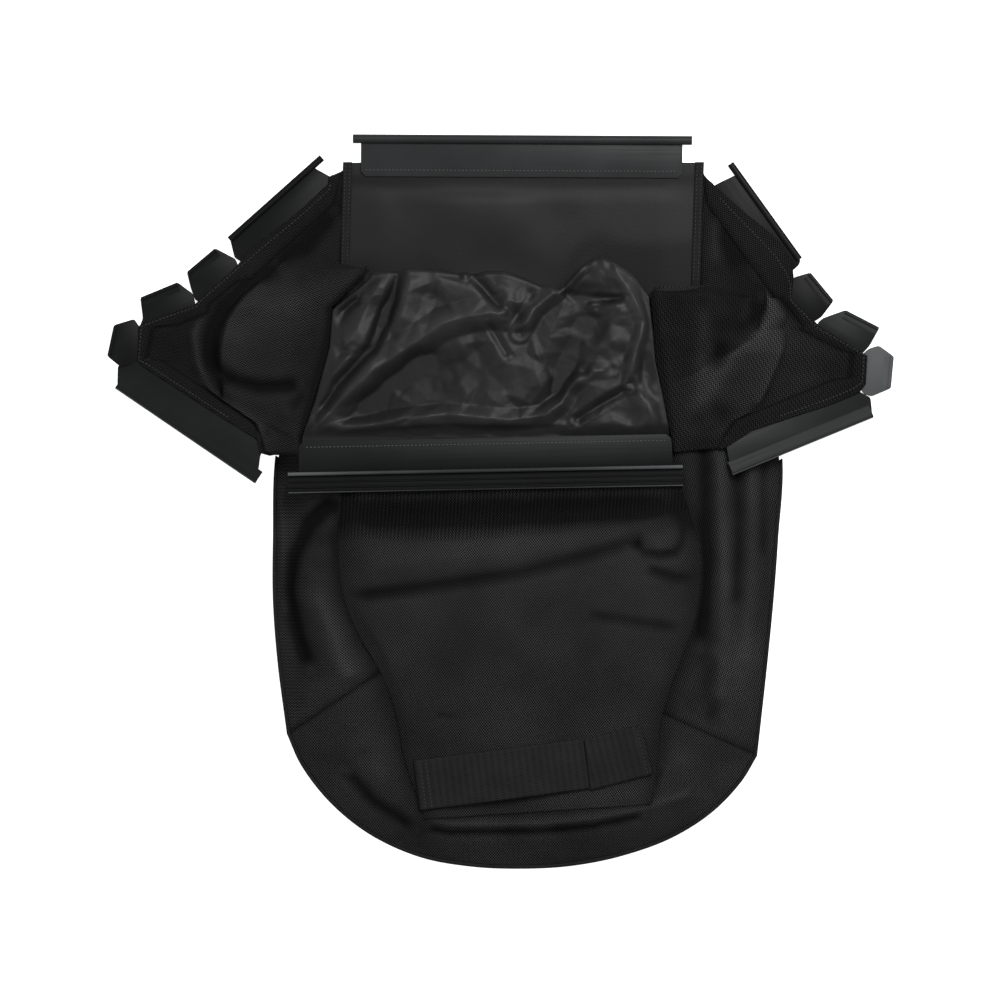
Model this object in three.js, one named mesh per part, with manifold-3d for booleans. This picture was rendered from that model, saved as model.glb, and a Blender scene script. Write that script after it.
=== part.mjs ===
import * as THREE from "three";
import { mergeVertices } from "three/addons/utils/BufferGeometryUtils.js";
import Module from "manifold-3d";

// Grass collection bag of a walk-behind mower, empty and laid flat on its back. Millimetres.
// +Y points from the closed end to the mouth, +X to the right of it, +Z up from the floor.
// The mouth is spread: both side walls lie out as wings, and the front wall is turned down as a cuff.

const wasm = await Module();
wasm.setup();

// Cloth and sewing
const clothThickness = 1.6;
const sewnGap = 0.3;
const seamGap = 0.8;
const seamLap = 12;
const hemWidth = 5;
const hemHeight = 4;

// Extruded edge clips
const plateWidth = 33;
const plateThickness = 2;
const plateChamfer = 6;
const hookOverhang = 8;
const longHookSize = 9;
const sideHookSize = 7;
const hookWall = 1.4;
const hookMouthAngle = 80;
const longChannelWidth = 19;
const sideChannelWidth = 11;
const channelWall = 2.2;
const channelCrown = 4.5;

// Lengths of the clips
const topClipLength = 339;
const bottomClipLength = 395;
const leftUpperLength = 122;
const rightUpperLength = 118;
const leftLowerLength = 168;
const rightLowerLength = 154;
const tabEdge = 34;
const tabWidest = 44;
const tabBase = 44;
const endTabBase = 28;
const tabDepth = 31;

// Heights of the lying bag
const frontHeight = 44;
const endHeight = 24;
const frontCrown = 5;
const cuffLift = 5;
const lowerClipRise = 36;

// Plan of the body
const bodyLeft = -225;
const bodyRight = 280;
const closedEnd = -367;
const mouthEnd = 367;
const deflectorEnd = 195;
const bindingWidth = 9;
const bottomClipX = -14;
const bottomClipY = 9;
const topClipX = 22;
const topClipLeft = topClipX - topClipLength / 2;
const topClipRight = topClipX + topClipLength / 2;
const leftBindingGap = 9.5;
const rightBindingGap = 11.5;
const leftBindingStart = 240;
const rightBindingStart = 222;

// Handle
const strapWidth = 50;
const strapLength = 170;
const strapEndLength = 66;
const strapThickness = 2.2;
const strapArch = 10;
const strapSeat = 0.6;
const strapHump = 1;
const strapX = 0.5;
const strapY = -272;
const strapTurn = 6.5;

const paint = (color, roughness) => new THREE.MeshStandardMaterial({ color, roughness, metalness: 0 });
const meshCloth = () => paint(0x1c1d1e, 0.9);
const nylonCloth = () => paint(0x26282b, 0.45);
const vinylCloth = () => paint(0x242629, 0.4);
const plastic = () => paint(0x33373a, 0.45);
const webbing = () => paint(0x1f2022, 0.8);

const group = new THREE.Group();

function addMesh(name, geometry, material) {
  const mesh = new THREE.Mesh(geometry, material);
  mesh.name = name;
  group.add(mesh);
  return mesh;
}

// Solids for joining and cutting
function toSolid(geometry) {
  const bare = geometry.clone();
  bare.deleteAttribute("normal");
  bare.deleteAttribute("uv");
  const merged = mergeVertices(bare, 1e-4);
  return new wasm.Manifold(
    new wasm.Mesh({
      numProp: 3,
      vertProperties: merged.attributes.position.array,
      triVerts: new Uint32Array(merged.index.array),
    }),
  );
}

function fromSolid(solid) {
  const mesh = solid.getMesh();
  const geometry = new THREE.BufferGeometry();
  geometry.setAttribute("position", new THREE.BufferAttribute(mesh.vertProperties, 3));
  geometry.setIndex(new THREE.BufferAttribute(mesh.triVerts, 1));
  geometry.computeVertexNormals();
  return geometry;
}

const mix = THREE.MathUtils.lerp;
const smooth = THREE.MathUtils.smoothstep;
const plan = (x, y) => new THREE.Vector2(x, y);
const place = (x, y, z) => new THREE.Vector3(x, y, z);

// Distance in plan from a point to a line of points
function distanceTo(line, x, y) {
  const from = plan(x, y);
  let nearest = Infinity;
  for (let i = 1; i < line.length; i++) {
    const start = plan(...line[i - 1]);
    const along = plan(...line[i]).sub(start);
    const share = THREE.MathUtils.clamp(from.clone().sub(start).dot(along) / along.lengthSq(), 0, 1);
    nearest = Math.min(nearest, from.distanceTo(start.addScaledVector(along, share)));
  }
  return nearest;
}

// Height that a set of folds adds at a point: each is a line, a half width and a height
function foldHeight(folds, x, y) {
  let height = 0;
  for (const fold of folds) {
    const away = distanceTo(fold.line, x, y) / fold.width;
    height += fold.height * Math.exp(-away * away);
  }
  return height;
}

// Fades to nothing at both ends of 0 to 1
const fade = (t, edge) => smooth(t, 0, edge) * smooth(1 - t, 0, edge);

// A closed sheet below the surface that pointAt(u, v) gives, straight down or along its normal
function sheetGeometry(pointAt, across, along, thickness, straightDown) {
  const top = [];
  for (let i = 0; i <= across; i++)
    for (let j = 0; j <= along; j++) top.push(pointAt(i / across, j / along));
  const row = along + 1;
  const at = (i, j) => {
    const column = THREE.MathUtils.clamp(i, 0, across);
    return top[column * row + THREE.MathUtils.clamp(j, 0, along)];
  };
  const normals = [];
  for (let i = 0; i <= across; i++)
    for (let j = 0; j <= along; j++) {
      const u = at(i + 1, j).clone().sub(at(i - 1, j));
      const v = at(i, j + 1).clone().sub(at(i, j - 1));
      normals.push(u.cross(v).normalize());
    }
  const side = Math.sign(normals.reduce((sum, n) => sum + n.z, 0));
  const down = (n) => (straightDown ? place(0, 0, -1) : n.clone().multiplyScalar(-side));
  const bottom = top.map((p, k) => p.clone().addScaledVector(down(normals[k]), thickness));
  const count = top.length;
  const faces = [];
  const quad = (a, b, c, d) => faces.push(a, b, c, a, c, d);
  for (let i = 0; i < across; i++)
    for (let j = 0; j < along; j++) {
      const a = i * row + j;
      quad(a, a + row, a + row + 1, a + 1);
      quad(count + a, count + a + 1, count + a + row + 1, count + a + row);
    }
  for (let i = 0; i < across; i++) {
    const a = i * row;
    const b = a + along;
    quad(a, count + a, count + a + row, a + row);
    quad(b, b + row, count + b + row, count + b);
  }
  for (let j = 0; j < along; j++) {
    const a = j;
    const b = across * row + j;
    quad(a, a + 1, count + a + 1, count + a);
    quad(b, count + b, count + b + 1, b + 1);
  }
  if (side < 0) faces.reverse();
  const geometry = new THREE.BufferGeometry().setFromPoints([...top, ...bottom]);
  geometry.setIndex(faces);
  geometry.computeVertexNormals();
  return geometry;
}

// Clip frames: local x runs along the clip, local y points out of the bag, local z up.
// The origin is the middle of the outer edge, on the surface that the cloth lies on.
function clipFrame(x, y, outward, z, slope) {
  const turn = THREE.MathUtils.degToRad(outward - 90);
  const lean = new THREE.Matrix4().makeRotationY(-slope);
  const turned = new THREE.Matrix4().makeRotationZ(turn);
  return new THREE.Matrix4().makeTranslation(x, y, z).multiply(turned).multiply(lean);
}

const plateUnder = clothThickness + sewnGap;
const plateTop = plateUnder + plateThickness;

function arcPoints(radius, centreY, centreZ, from, to, steps) {
  return Array.from({ length: steps + 1 }, (unused, i) => {
    const angle = THREE.MathUtils.degToRad(mix(from, to, i / steps));
    return [centreY + radius * Math.cos(angle), centreZ + radius * Math.sin(angle)];
  });
}

// Section of a clip whose hook is a round bead with its mouth down, as [out, up]
function hookSection(size) {
  const outer = size / 2;
  const leftAngle = (z) => 180 - THREE.MathUtils.radToDeg(Math.asin((z - outer) / outer));
  const mouthFrom = 270 - hookMouthAngle / 2;
  const mouthTo = -90 + hookMouthAngle / 2;
  return [
    [-size - plateWidth, plateUnder],
    ...arcPoints(outer, -outer, outer, leftAngle(plateUnder), mouthFrom, 2),
    ...arcPoints(outer - hookWall, -outer, outer, mouthFrom, mouthTo, 12),
    ...arcPoints(outer, -outer, outer, mouthTo, leftAngle(plateTop), 14),
    [-size - plateWidth, plateTop],
  ];
}

// Section of a clip whose hook is a channel open upwards, with two grip ribs if ribbed
function channelSection(width, bottom, ribbed) {
  const floor = bottom + channelWall;
  const crown = plateTop + channelCrown;
  const inner = -width + 2 * channelWall;
  const outer = -channelWall;
  const lip = crown - channelCrown / 2;
  const ribs = [];
  const third = (outer - inner) / 3;
  for (const k of ribbed ? [1, 2] : []) {
    const middle = inner + k * third;
    ribs.push([middle - 1, floor], [middle - 0.5, floor + 1]);
    ribs.push([middle + 0.5, floor + 1], [middle + 1, floor]);
  }
  return [
    [-width - plateWidth, plateUnder],
    [-width, plateUnder],
    [-width + channelWall, bottom],
    [-1, bottom],
    [0, bottom + 1],
    [0, lip - 1],
    [outer / 2, lip],
    [outer, lip - 1],
    [outer, floor],
    ...ribs.reverse(),
    [inner, floor],
    [inner, crown - 1],
    [inner - channelWall / 2, crown],
    [-width, plateTop],
    [-width - plateWidth, plateTop],
  ];
}

// A section drawn as [out, up], drawn out along the clip's length
function sectionBody(section, length) {
  const shape = new THREE.Shape(section.map(([out, up]) => plan(out, up)));
  const geometry = new THREE.ExtrudeGeometry(shape, { depth: length, bevelEnabled: false });
  const turned = new THREE.Matrix4().makeBasis(place(0, 1, 0), place(0, 0, 1), place(1, 0, 0));
  geometry.translate(0, 0, -length / 2);
  return geometry.applyMatrix4(turned);
}

// Everything inside a plan outline
function planPrism(outline) {
  const reach = 60;
  const shape = new THREE.Shape(outline.map(([x, y]) => plan(x, y)));
  const geometry = new THREE.ExtrudeGeometry(shape, { depth: 2 * reach, bevelEnabled: false });
  return geometry.translate(0, 0, -reach);
}

function clipOutline(length, hook) {
  const half = length / 2;
  const plateHalf = half - hookOverhang;
  const inner = -hook - plateWidth;
  return [
    [-half, 0],
    [half, 0],
    [half, -hook],
    [plateHalf, -hook],
    [plateHalf, inner + plateChamfer],
    [plateHalf - plateChamfer, inner],
    [plateChamfer - plateHalf, inner],
    [-plateHalf, inner + plateChamfer],
    [-plateHalf, -hook],
    [-half, -hook],
  ];
}

function tabOutline(base) {
  const shoulder = -tabDepth / 2;
  return [
    [-tabEdge / 2, 0],
    [tabEdge / 2, 0],
    [tabWidest / 2, shoulder],
    [base / 2, -tabDepth],
    [-base / 2, -tabDepth],
    [-tabWidest / 2, shoulder],
  ];
}

function clipGeometry(section, outline, length) {
  return fromSolid(toSolid(sectionBody(section, length)).intersect(toSolid(planPrism(outline))));
}

// The clips: a hook width, how far the plate reaches in, and a frame
const sewnHalf = (length) => length / 2 - hookOverhang - 1;
const lowerSlope = (length) => Math.asin(lowerClipRise / length);
const lowerMiddle = (length) =>
  (length / 2) * Math.sin(lowerSlope(length)) - plateUnder * Math.cos(lowerSlope(length));
const lowerFrame = (x, y, outward, length, side) =>
  clipFrame(x, y, outward, lowerMiddle(length), side * lowerSlope(length));
const cuffClipHeight = frontHeight + sewnGap;

const clips = {
  top_clip: { frame: clipFrame(topClipX, mouthEnd, 90, 0, 0), length: topClipLength, hook: longHookSize },
  bottom_clip: {
    frame: clipFrame(bottomClipX, bottomClipY, -90, cuffClipHeight, 0),
    length: bottomClipLength,
    hook: longChannelWidth,
    channel: true,
    bottom: 0,
    ribbed: true,
  },
  left_upper_clip: {
    frame: clipFrame(topClipLeft - 77.5, 302.5, 131.7, 0, 0),
    length: leftUpperLength,
    hook: sideHookSize,
  },
  right_upper_clip: {
    frame: clipFrame(topClipRight + 72.5, 289, 35.7, 0, 0),
    length: rightUpperLength,
    hook: sideHookSize,
  },
  left_lower_clip: {
    frame: lowerFrame(topClipLeft - 165, 65.5, -124.5, leftLowerLength, -1),
    length: leftLowerLength,
    hook: sideChannelWidth,
    channel: true,
    bottom: plateUnder,
  },
  right_lower_clip: {
    frame: lowerFrame(topClipRight + 106.5, 57, -67.9, rightLowerLength, 1),
    length: rightLowerLength,
    hook: sideChannelWidth,
    channel: true,
    bottom: plateUnder,
  },
  left_corner_clip_1: { frame: clipFrame(topClipLeft - 151, 239, 130.2, 0, 0), tab: tabBase },
  left_corner_clip_2: { frame: clipFrame(topClipLeft - 193, 209, 112.4, 0, 0), tab: tabBase },
  left_corner_clip_3: { frame: clipFrame(topClipLeft - 242, 160, 167.9, sewnGap, 0), tab: endTabBase },
  right_corner_clip_1: { frame: clipFrame(topClipRight + 126.5, 215, 39.4, 0, 0), tab: tabBase },
  right_corner_clip_2: { frame: clipFrame(topClipRight + 165.5, 184, 62.7, 0, 0), tab: tabBase },
  right_corner_clip_3: { frame: clipFrame(topClipRight + 198.5, 127.5, -5.2, sewnGap, 0), tab: endTabBase },
};

for (const [name, clip] of Object.entries(clips)) {
  if (clip.tab) {
    clip.hook = sideHookSize;
    clip.length = tabWidest;
    clip.reach = tabDepth;
    clip.sewnHalf = clip.tab / 2 - 2;
    clip.geometry = clipGeometry(hookSection(clip.hook), tabOutline(clip.tab), clip.length);
  } else {
    clip.reach = clip.hook + plateWidth;
    clip.sewnHalf = sewnHalf(clip.length);
    const section = clip.channel
      ? channelSection(clip.hook, clip.bottom, clip.ribbed)
      : hookSection(clip.hook);
    clip.geometry = clipGeometry(section, clipOutline(clip.length, clip.hook), clip.length);
  }
  const mesh = addMesh(name, clip.geometry, plastic());
  mesh.applyMatrix4(clip.frame);
}

// A point of the cloth under a clip: its edge inside the plate, or just past the plate
function clothEdge(clip, end) {
  const lap = Math.min(seamLap, clip.reach - clip.hook - 4);
  return place(end * clip.sewnHalf, lap - clip.reach, clothThickness).applyMatrix4(clip.frame);
}
function clothHinge(clip, end) {
  return place(end * clip.sewnHalf, -clip.reach - 4, clothThickness).applyMatrix4(clip.frame);
}

// Front of the lying bag: height of its top surface, without folds
const bodyMiddle = (bodyLeft + bodyRight) / 2;
const bodyHalf = (bodyRight - bodyLeft) / 2;
function frontBase(x, y) {
  const lengthwise = mix(endHeight, frontHeight, smooth(y, closedEnd + 30, -60));
  const sideways = THREE.MathUtils.clamp((x - bodyMiddle) / bodyHalf, -1, 1);
  return lengthwise - frontCrown * sideways ** 4;
}

// Outline of the front panel in plan, from the closed end to the mouth
const frontLeft = [
  [-75, -317],
  [-95, -259],
  [-105, -209],
  [-120, -169],
  [-138, -139],
  [-155, -99],
  [-162, -39],
  [-157, 11],
  [-160, 60],
  [-155, 140],
  [-136, 218],
];
const frontRight = [
  [150, -302],
  [155, -269],
  [160, -219],
  [168, -189],
  [182, -150],
  [195, -110],
  [198, -50],
  [180, 11],
  [164, 60],
  [150, 132],
  [141, 196],
];
const smoothLine = (points) => new THREE.CatmullRomCurve3(points.map(([x, y]) => place(x, y, 0)));
const frontLeftLine = smoothLine(frontLeft);
const frontRightLine = smoothLine(frontRight);
const cornerSeam = 3 / (frontLeft.length - 1);

// The crest of the cuff, as how far it stands in front of the straight line between its ends
const crestLine = [
  [-128.5, 0],
  [-70, 7],
  [-2, 9],
  [40, 3],
  [63, 4],
  [81, 25],
  [100, 35],
  [119, 28],
  [140, 9],
  [147.5, 0],
];
function crestBulge(x) {
  const next = crestLine.findIndex(([at]) => at >= x);
  if (next < 1) return 0;
  const [x0, y0] = crestLine[next - 1];
  const [x1, y1] = crestLine[next];
  return mix(y0, y1, (x - x0) / (x1 - x0));
}

const frontFolds = [
  { line: [[-152, -62], [-59, -56], [60, -44], [175, -32]], width: 16, height: 8 },
  { line: [[-154, -94], [-49, -83], [60, -71], [116, -60]], width: 6, height: -6 },
  { line: [[116, -65], [190, -77]], width: 5, height: -4 },
  { line: [[82, -113], [180, -127]], width: 5, height: -4 },
  { line: [[-150, -18], [-50, -16], [60, -12], [170, -6]], width: 12, height: -5 },
  { line: [[-75, -312], [50, -306], [145, -298]], width: 7, height: 2 },
];

function frontTop(x, y, u, v) {
  return frontBase(x, y) + foldHeight(frontFolds, x, y) * fade(u, 0.1) * fade(v, 0.04);
}

function frontPoint(u, v) {
  const left = frontLeftLine.getPoint(v);
  const right = frontRightLine.getPoint(v);
  const point = left.lerp(right, u);
  point.y += crestBulge(point.x) * smooth(v, 0.85, 1);
  point.z = frontTop(point.x, point.y, u, v);
  return point;
}
addMesh("front_panel", sheetGeometry(frontPoint, 16, 32, clothThickness, true), meshCloth());

// Back of the bag: mesh panel on the floor, with the smooth deflector panel at its mouth end
const bindingLeftLine = [
  plan(topClipLeft - leftBindingGap - 4, deflectorEnd),
  plan(topClipLeft - leftBindingGap, 339),
];
const bindingRightLine = [
  plan(topClipRight + rightBindingGap - 4.5, deflectorEnd),
  plan(topClipRight + rightBindingGap, 337),
];
const onLine = (line, y) => {
  const [a, b] = line;
  return mix(a.x, b.x, (y - a.y) / (b.y - a.y));
};

// The hem line round the body, from its left end to its right end
const hemLeft = [
  [topClipLeft - 18.5, 238],
  [topClipLeft - 57.5, 130],
  [bodyLeft, 49],
  [bodyLeft - 1, -39],
  [bodyLeft, -99],
  [-222, -160],
  [-214, -233],
];
const hemRight = [
  [topClipRight + 14.5, 219],
  [topClipRight + 70.5, 130],
  [bodyRight + 1, 46],
  [bodyRight - 3, -39],
  [273, -99],
  [267, -165],
  [257, -255],
];
const endArc = [
  [-214, -233],
  [-200, -264],
  [-170, -299],
  [-130, -331],
  [-80, -354],
  [-30, -364],
  [20, closedEnd],
  [70, -364],
  [120, -354],
  [170, -335],
  [210, -309],
  [240, -279],
  [257, -255],
];
const hemLeftLine = smoothLine(hemLeft);
const hemRightLine = smoothLine(hemRight);
const endArcLine = smoothLine(endArc);

const inset = hemWidth + seamGap;
const outlineCentre = plan(bodyMiddle, -80);
const inward = (point) => {
  const away = outlineCentre.clone().sub(plan(point.x, point.y)).normalize();
  return place(point.x + inset * away.x, point.y + inset * away.y, point.z);
};

function backPanel() {
  const end = deflectorEnd - sewnGap;
  const left = hemLeftLine.getPoints(18).filter((p) => p.y < end - 4).map(inward);
  const right = hemRightLine.getPoints(18).filter((p) => p.y < end - 4).map(inward).reverse();
  const arc = endArcLine.getPoints(30).slice(1, -1).map(inward);
  const corners = [plan(onLine(bindingLeftLine, end) + 1, end)];
  for (const p of [...left, ...arc, ...right]) corners.push(plan(p.x, p.y));
  corners.push(plan(onLine(bindingRightLine, end) - 1, end));
  return new THREE.ExtrudeGeometry(new THREE.Shape(corners), { depth: clothThickness, bevelEnabled: false });
}
addMesh("back_panel", backPanel(), meshCloth());

const deflectorFolds = [
  { line: [[-100, 300], [60, 285]], width: 30, height: 2.5 },
  { line: [[120, 250], [170, 235]], width: 18, height: -2 },
];
const deflectorTop = mouthEnd - longHookSize - plateWidth + seamLap;
const deflectorFlat = mouthEnd - longHookSize - plateWidth - 4;
function deflectorPoint(u, v) {
  const y = mix(deflectorEnd, deflectorTop, v);
  const x = mix(onLine(bindingLeftLine, y) + 1, onLine(bindingRightLine, y) - 1, u);
  const free = smooth(deflectorFlat - y, 0, 25) * smooth(y - deflectorEnd, 0, 40) * fade(u, 0.12);
  return place(x, y, clothThickness + Math.max(0, (1.2 + foldHeight(deflectorFolds, x, y)) * free));
}
addMesh("deflector_panel", sheetGeometry(deflectorPoint, 16, 10, clothThickness, true), vinylCloth());

function binding(line, side, from, to) {
  const at = (v) => mix(from, to, v);
  const point = (u, v) => {
    const y = at(v);
    return place(onLine(line, y) + side * (u * bindingWidth - 0.5), y, 2 * clothThickness + sewnGap);
  };
  return sheetGeometry(point, 1, 4, clothThickness - 0.4, true);
}
const bindingEnd = mouthEnd - longHookSize - hookOverhang - 12;
addMesh("left_binding", binding(bindingLeftLine, 1, leftBindingStart, bindingEnd), webbing());
addMesh("right_binding", binding(bindingRightLine, -1, rightBindingStart, bindingEnd), webbing());

// Edges of the cuff in plan, from the bottom clip up to the crest
const cuffLeft = [
  [-197.5, 62],
  [-183.5, 101],
  [-169.5, 153],
  [-166.5, 192],
  [-128.5, 229],
];
const cuffRight = [
  [169, 62],
  [162, 100],
  [153.5, 138],
  [151, 172],
  [147.5, 207],
];
const apronFolds = [
  { line: [[-190, 63], [-120, 116], [-45, 181], [40, 191]], width: 13, height: 10 },
  { line: [[-100, 231], [-115, 191], [-170, 101]], width: 9, height: -5 },
  { line: [[60, 211], [20, 156]], width: 10, height: 6 },
  { line: [[82, 196], [86, 141]], width: 12, height: -6 },
  { line: [[150, 171], [130, 121], [100, 101]], width: 6, height: -5 },
  { line: [[128, 111], [157, 71]], width: 7, height: 6 },
  { line: [[-180, 69], [-50, 86], [40, 83], [70, 101], [90, 121]], width: 8, height: 6 },
  { line: [[80, 203], [125, 203]], width: 5, height: -4 },
];
const cuffEdgeTop = (x, y) => frontBase(x, y) + sewnGap + clothThickness + cuffLift;
const alongLine = (points, t) => {
  const spot = t * (points.length - 1);
  const i = Math.min(Math.floor(spot), points.length - 2);
  return plan(...points[i]).lerp(plan(...points[i + 1]), spot - i);
};

// The apron runs from the bottom clip up to the crest, round it, and a little way back inside
const apronTurn = 6;
const apronHang = 26;
const apronRows = { lap: 2, cuff: 16, turn: 6, hang: 2 };
function apronPoint(u, row) {
  const clip = clips.bottom_clip;
  const { lap, cuff, turn } = apronRows;
  if (row < lap) {
    const end = mix(1, -1, u);
    return clothEdge(clip, end).lerp(clothHinge(clip, end), row / lap);
  }
  const v = Math.min((row - lap) / cuff, 1);
  const at = alongLine(cuffLeft, v).lerp(alongLine(cuffRight, v), u);
  const y = at.y + crestBulge(at.x) * smooth(v, 0.6, 1);
  const rise = smooth(v, 0, 0.12);
  const free = fade(u, 0.07) * smooth(v, 0, 0.1) * smooth(1 - v, -0.3, 0.2);
  const fold = foldHeight(apronFolds, at.x, y) * free;
  const level = mix(clothHinge(clip, mix(1, -1, u)).z, cuffEdgeTop(at.x, y) + fold, rise);
  const lowest = frontBase(at.x, y) + clothThickness + 2 * sewnGap;
  const top = place(at.x, y, Math.max(level, lowest));
  if (row <= lap + cuff) return top;
  const under = frontBase(at.x, y) - 2 * clothThickness - 2 * sewnGap;
  const radius = (top.z - under) / 2;
  if (row <= lap + cuff + turn) {
    const angle = (Math.PI * (row - lap - cuff)) / turn;
    const out = Math.sin(angle) * Math.min(radius, apronTurn);
    return place(at.x, y + out, top.z - radius * (1 - Math.cos(angle)));
  }
  const back = (row - lap - cuff - turn) / apronRows.hang;
  return place(at.x, y - back * apronHang, under);
}
const apronRowCount = apronRows.lap + apronRows.cuff + apronRows.turn + apronRows.hang;
const apronSheet = (u, v) => apronPoint(u, Math.round(v * apronRowCount));
addMesh("apron", sheetGeometry(apronSheet, 20, apronRowCount, clothThickness, false), nylonCloth());

// Side walls: a part along the body, and the wing that lies out from the mouth
const bodyTop = 2 * clothThickness + sewnGap;

const gussetEnd = 0.85;
function bodySide(hemLine, frontLine, pocketCorner, side, folds) {
  const point = (u, v) => {
    const hem = inward(hemLine.getPoint(mix(1, 0, v)));
    const edge = frontLine.getPoint(mix(cornerSeam, 0.985, Math.min(v / gussetEnd, 1)));
    edge.lerp(place(...pocketCorner, 0), Math.max(0, (v - gussetEnd) / (1 - gussetEnd)));
    const x = mix(hem.x, edge.x + side * seamGap, u);
    const y = mix(hem.y, edge.y, u);
    const level = mix(bodyTop, frontBase(edge.x, edge.y), Math.sin((u * Math.PI) / 2));
    const fold = foldHeight(folds, x, y) * fade(u, 0.12) * fade(v, 0.06);
    return place(x, y, Math.max(bodyTop, level + fold));
  };
  return sheetGeometry(point, 7, 17, clothThickness, true);
}

const wingSteps = 3;
const wingRows = 10;
function wing(edgeClips, first, innerPoints, folds) {
  const stations = [];
  const cornerEnd = 0.84;
  edgeClips.forEach((clip, i) => {
    const start = i === 0 ? cornerEnd * first : first;
    for (const end of clip.tab ? [start, -first] : [start, 0, -first])
      stations.push([clothEdge(clip, end), clothHinge(clip, end)]);
  });
  const spans = stations.length - 1;
  const inner = innerPoints.map((p) => place(...p));
  const between = (list, u) => {
    const spot = u * (list.length - 1);
    const i = Math.min(Math.floor(spot + 1e-9), list.length - 2);
    return list[i].clone().lerp(list[i + 1], spot - i);
  };
  const point = (u, v) => {
    const edge = between(stations.map((s) => s[0]), u);
    const hinge = between(stations.map((s) => s[1]), u);
    const row = v * (wingRows + 1);
    if (row <= 1) return edge.lerp(hinge, row);
    const w = (row - 1) / wingRows;
    const end = between(inner, u);
    const at = hinge.clone().lerp(end, w);
    at.z = mix(hinge.z, end.z, smooth(w, 0, 1));
    const fold = foldHeight(folds, at.x, at.y) * fade(w, 0.14) * fade(u, 0.05);
    at.z = Math.max(clothThickness, at.z + fold);
    return at;
  };
  return sheetGeometry(point, spans * wingSteps, wingRows + 1, clothThickness, false);
}

function sideWall(wingGeometry, bodyGeometry) {
  return fromSolid(toSolid(wingGeometry).add(toSolid(bodyGeometry)));
}

// Inner edge of a wing: down beside the deflector panel, then up and along the cuff's edge
function wingInner(bindingLine, ys, cuffLine, side) {
  const points = ys.map((y) => [onLine(bindingLine, y) + side * 1.4, y, clothThickness]);
  for (const t of [1, 0.88, 0.75, 0.6, 0.5, 0.35, 0.18, 0]) {
    const at = alongLine(cuffLine, t);
    points.push([at.x + side * 2, at.y, cuffEdgeTop(at.x, at.y)]);
  }
  return points;
}

// The folds of a wing lie at distances from the end of the top clip
const foldsBeside = (start, folds) =>
  folds.map(({ line, width, height }) => ({ line: line.map(([x, y]) => [start + x, y]), width, height }));
const leftWingFolds = foldsBeside(topClipLeft, [
  { line: [[-132.5, 203], [-154.5, 164], [-148.5, 121], [-110.5, 84], [-82.5, 62]], width: 7, height: 10 },
  { line: [[-110.5, 218], [-136.5, 186], [-134.5, 131]], width: 7, height: -6 },
  { line: [[-114.5, 178], [-32.5, 195]], width: 18, height: 9 },
  { line: [[-128.5, 110], [-52.5, 121]], width: 8, height: -9 },
  { line: [[-74.5, 226], [-26.5, 262]], width: 8, height: 6 },
]);
const rightWingFolds = foldsBeside(topClipRight, [
  { line: [[11.5, 200], [11.5, 139], [-1.5, 75]], width: 8, height: 7 },
  { line: [[101.5, 236], [89.5, 199], [62.5, 168], [38.5, 146]], width: 8, height: 10 },
  { line: [[98.5, 170], [96.5, 145], [70.5, 100]], width: 6, height: -8 },
  { line: [[72.5, 207], [40.5, 160]], width: 6, height: -8 },
  { line: [[20.5, 272], [24.5, 228]], width: 7, height: 7 },
  { line: [[33.5, 106], [108.5, 106]], width: 22, height: 6 },
]);
const leftSideFolds = [
  {
    line: [[-160, 0], [-198, -44], [-209, -88], [-204, -120], [-189, -145], [-185, -176]],
    width: 8,
    height: -9,
  },
  { line: [[-188, -80], [-163, -113], [-140, -170]], width: 8, height: 5 },
];
const rightSideFolds = [
  { line: [[206, 50], [206, -100], [212, -205]], width: 8, height: -9 },
  { line: [[226, 46], [226, -119]], width: 6, height: 5 },
  { line: [[239, 20], [239, -119]], width: 5, height: -5 },
  { line: [[254, 30], [254, -39]], width: 4, height: -3 },
];

const leftEdge = ["left_upper_clip", "left_corner_clip_1", "left_corner_clip_2", "left_corner_clip_3"];
const rightEdge = leftEdge.map((name) => name.replace("left", "right"));
const clipsOf = (names) => names.map((name) => clips[name]);
const leftWing = wing(
  clipsOf([...leftEdge, "left_lower_clip"]),
  1,
  wingInner(bindingLeftLine, [298, 275, 250, 236], cuffLeft, -1),
  leftWingFolds,
);
const rightWing = wing(
  clipsOf([...rightEdge, "right_lower_clip"]),
  -1,
  wingInner(bindingRightLine, [295, 270, 240, 216], cuffRight, 1),
  rightWingFolds,
);
const leftBody = bodySide(hemLeftLine, frontLeftLine, [-133, 233], -1, leftSideFolds);
const rightBody = bodySide(hemRightLine, frontRightLine, [153, 212], 1, rightSideFolds);
addMesh("left_side_wall", sideWall(leftWing, leftBody), meshCloth());
addMesh("right_side_wall", sideWall(rightWing, rightBody), meshCloth());

// End band: from one corner seam round the closed end to the other
const endBandFolds = [
  { line: [[-156, -269], [-127, -301], [-106, -314], [-82, -330]], width: 7, height: -6 },
  { line: [[-60, -336], [40, -333], [150, -318]], width: 6, height: -5 },
  { line: [[170, -265], [165, -290]], width: 6, height: -5 },
];
function endBandInner(u) {
  const sides = 11 / 40;
  const from = frontLeftLine.getPoint(0);
  const to = frontRightLine.getPoint(0);
  if (u < sides) {
    const at = frontLeftLine.getPoint(mix(cornerSeam, 0, u / sides));
    at.x -= seamGap * 1.5;
    at.y -= seamGap * 1.5;
    return at;
  }
  if (u > 1 - sides) {
    const at = frontRightLine.getPoint(mix(0, cornerSeam, (u - 1 + sides) / sides));
    at.x += seamGap * 1.5;
    at.y -= seamGap * 1.5;
    return at;
  }
  const at = from.lerp(to, (u - sides) / (1 - 2 * sides));
  at.y -= seamGap * 1.5;
  return at;
}
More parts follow.
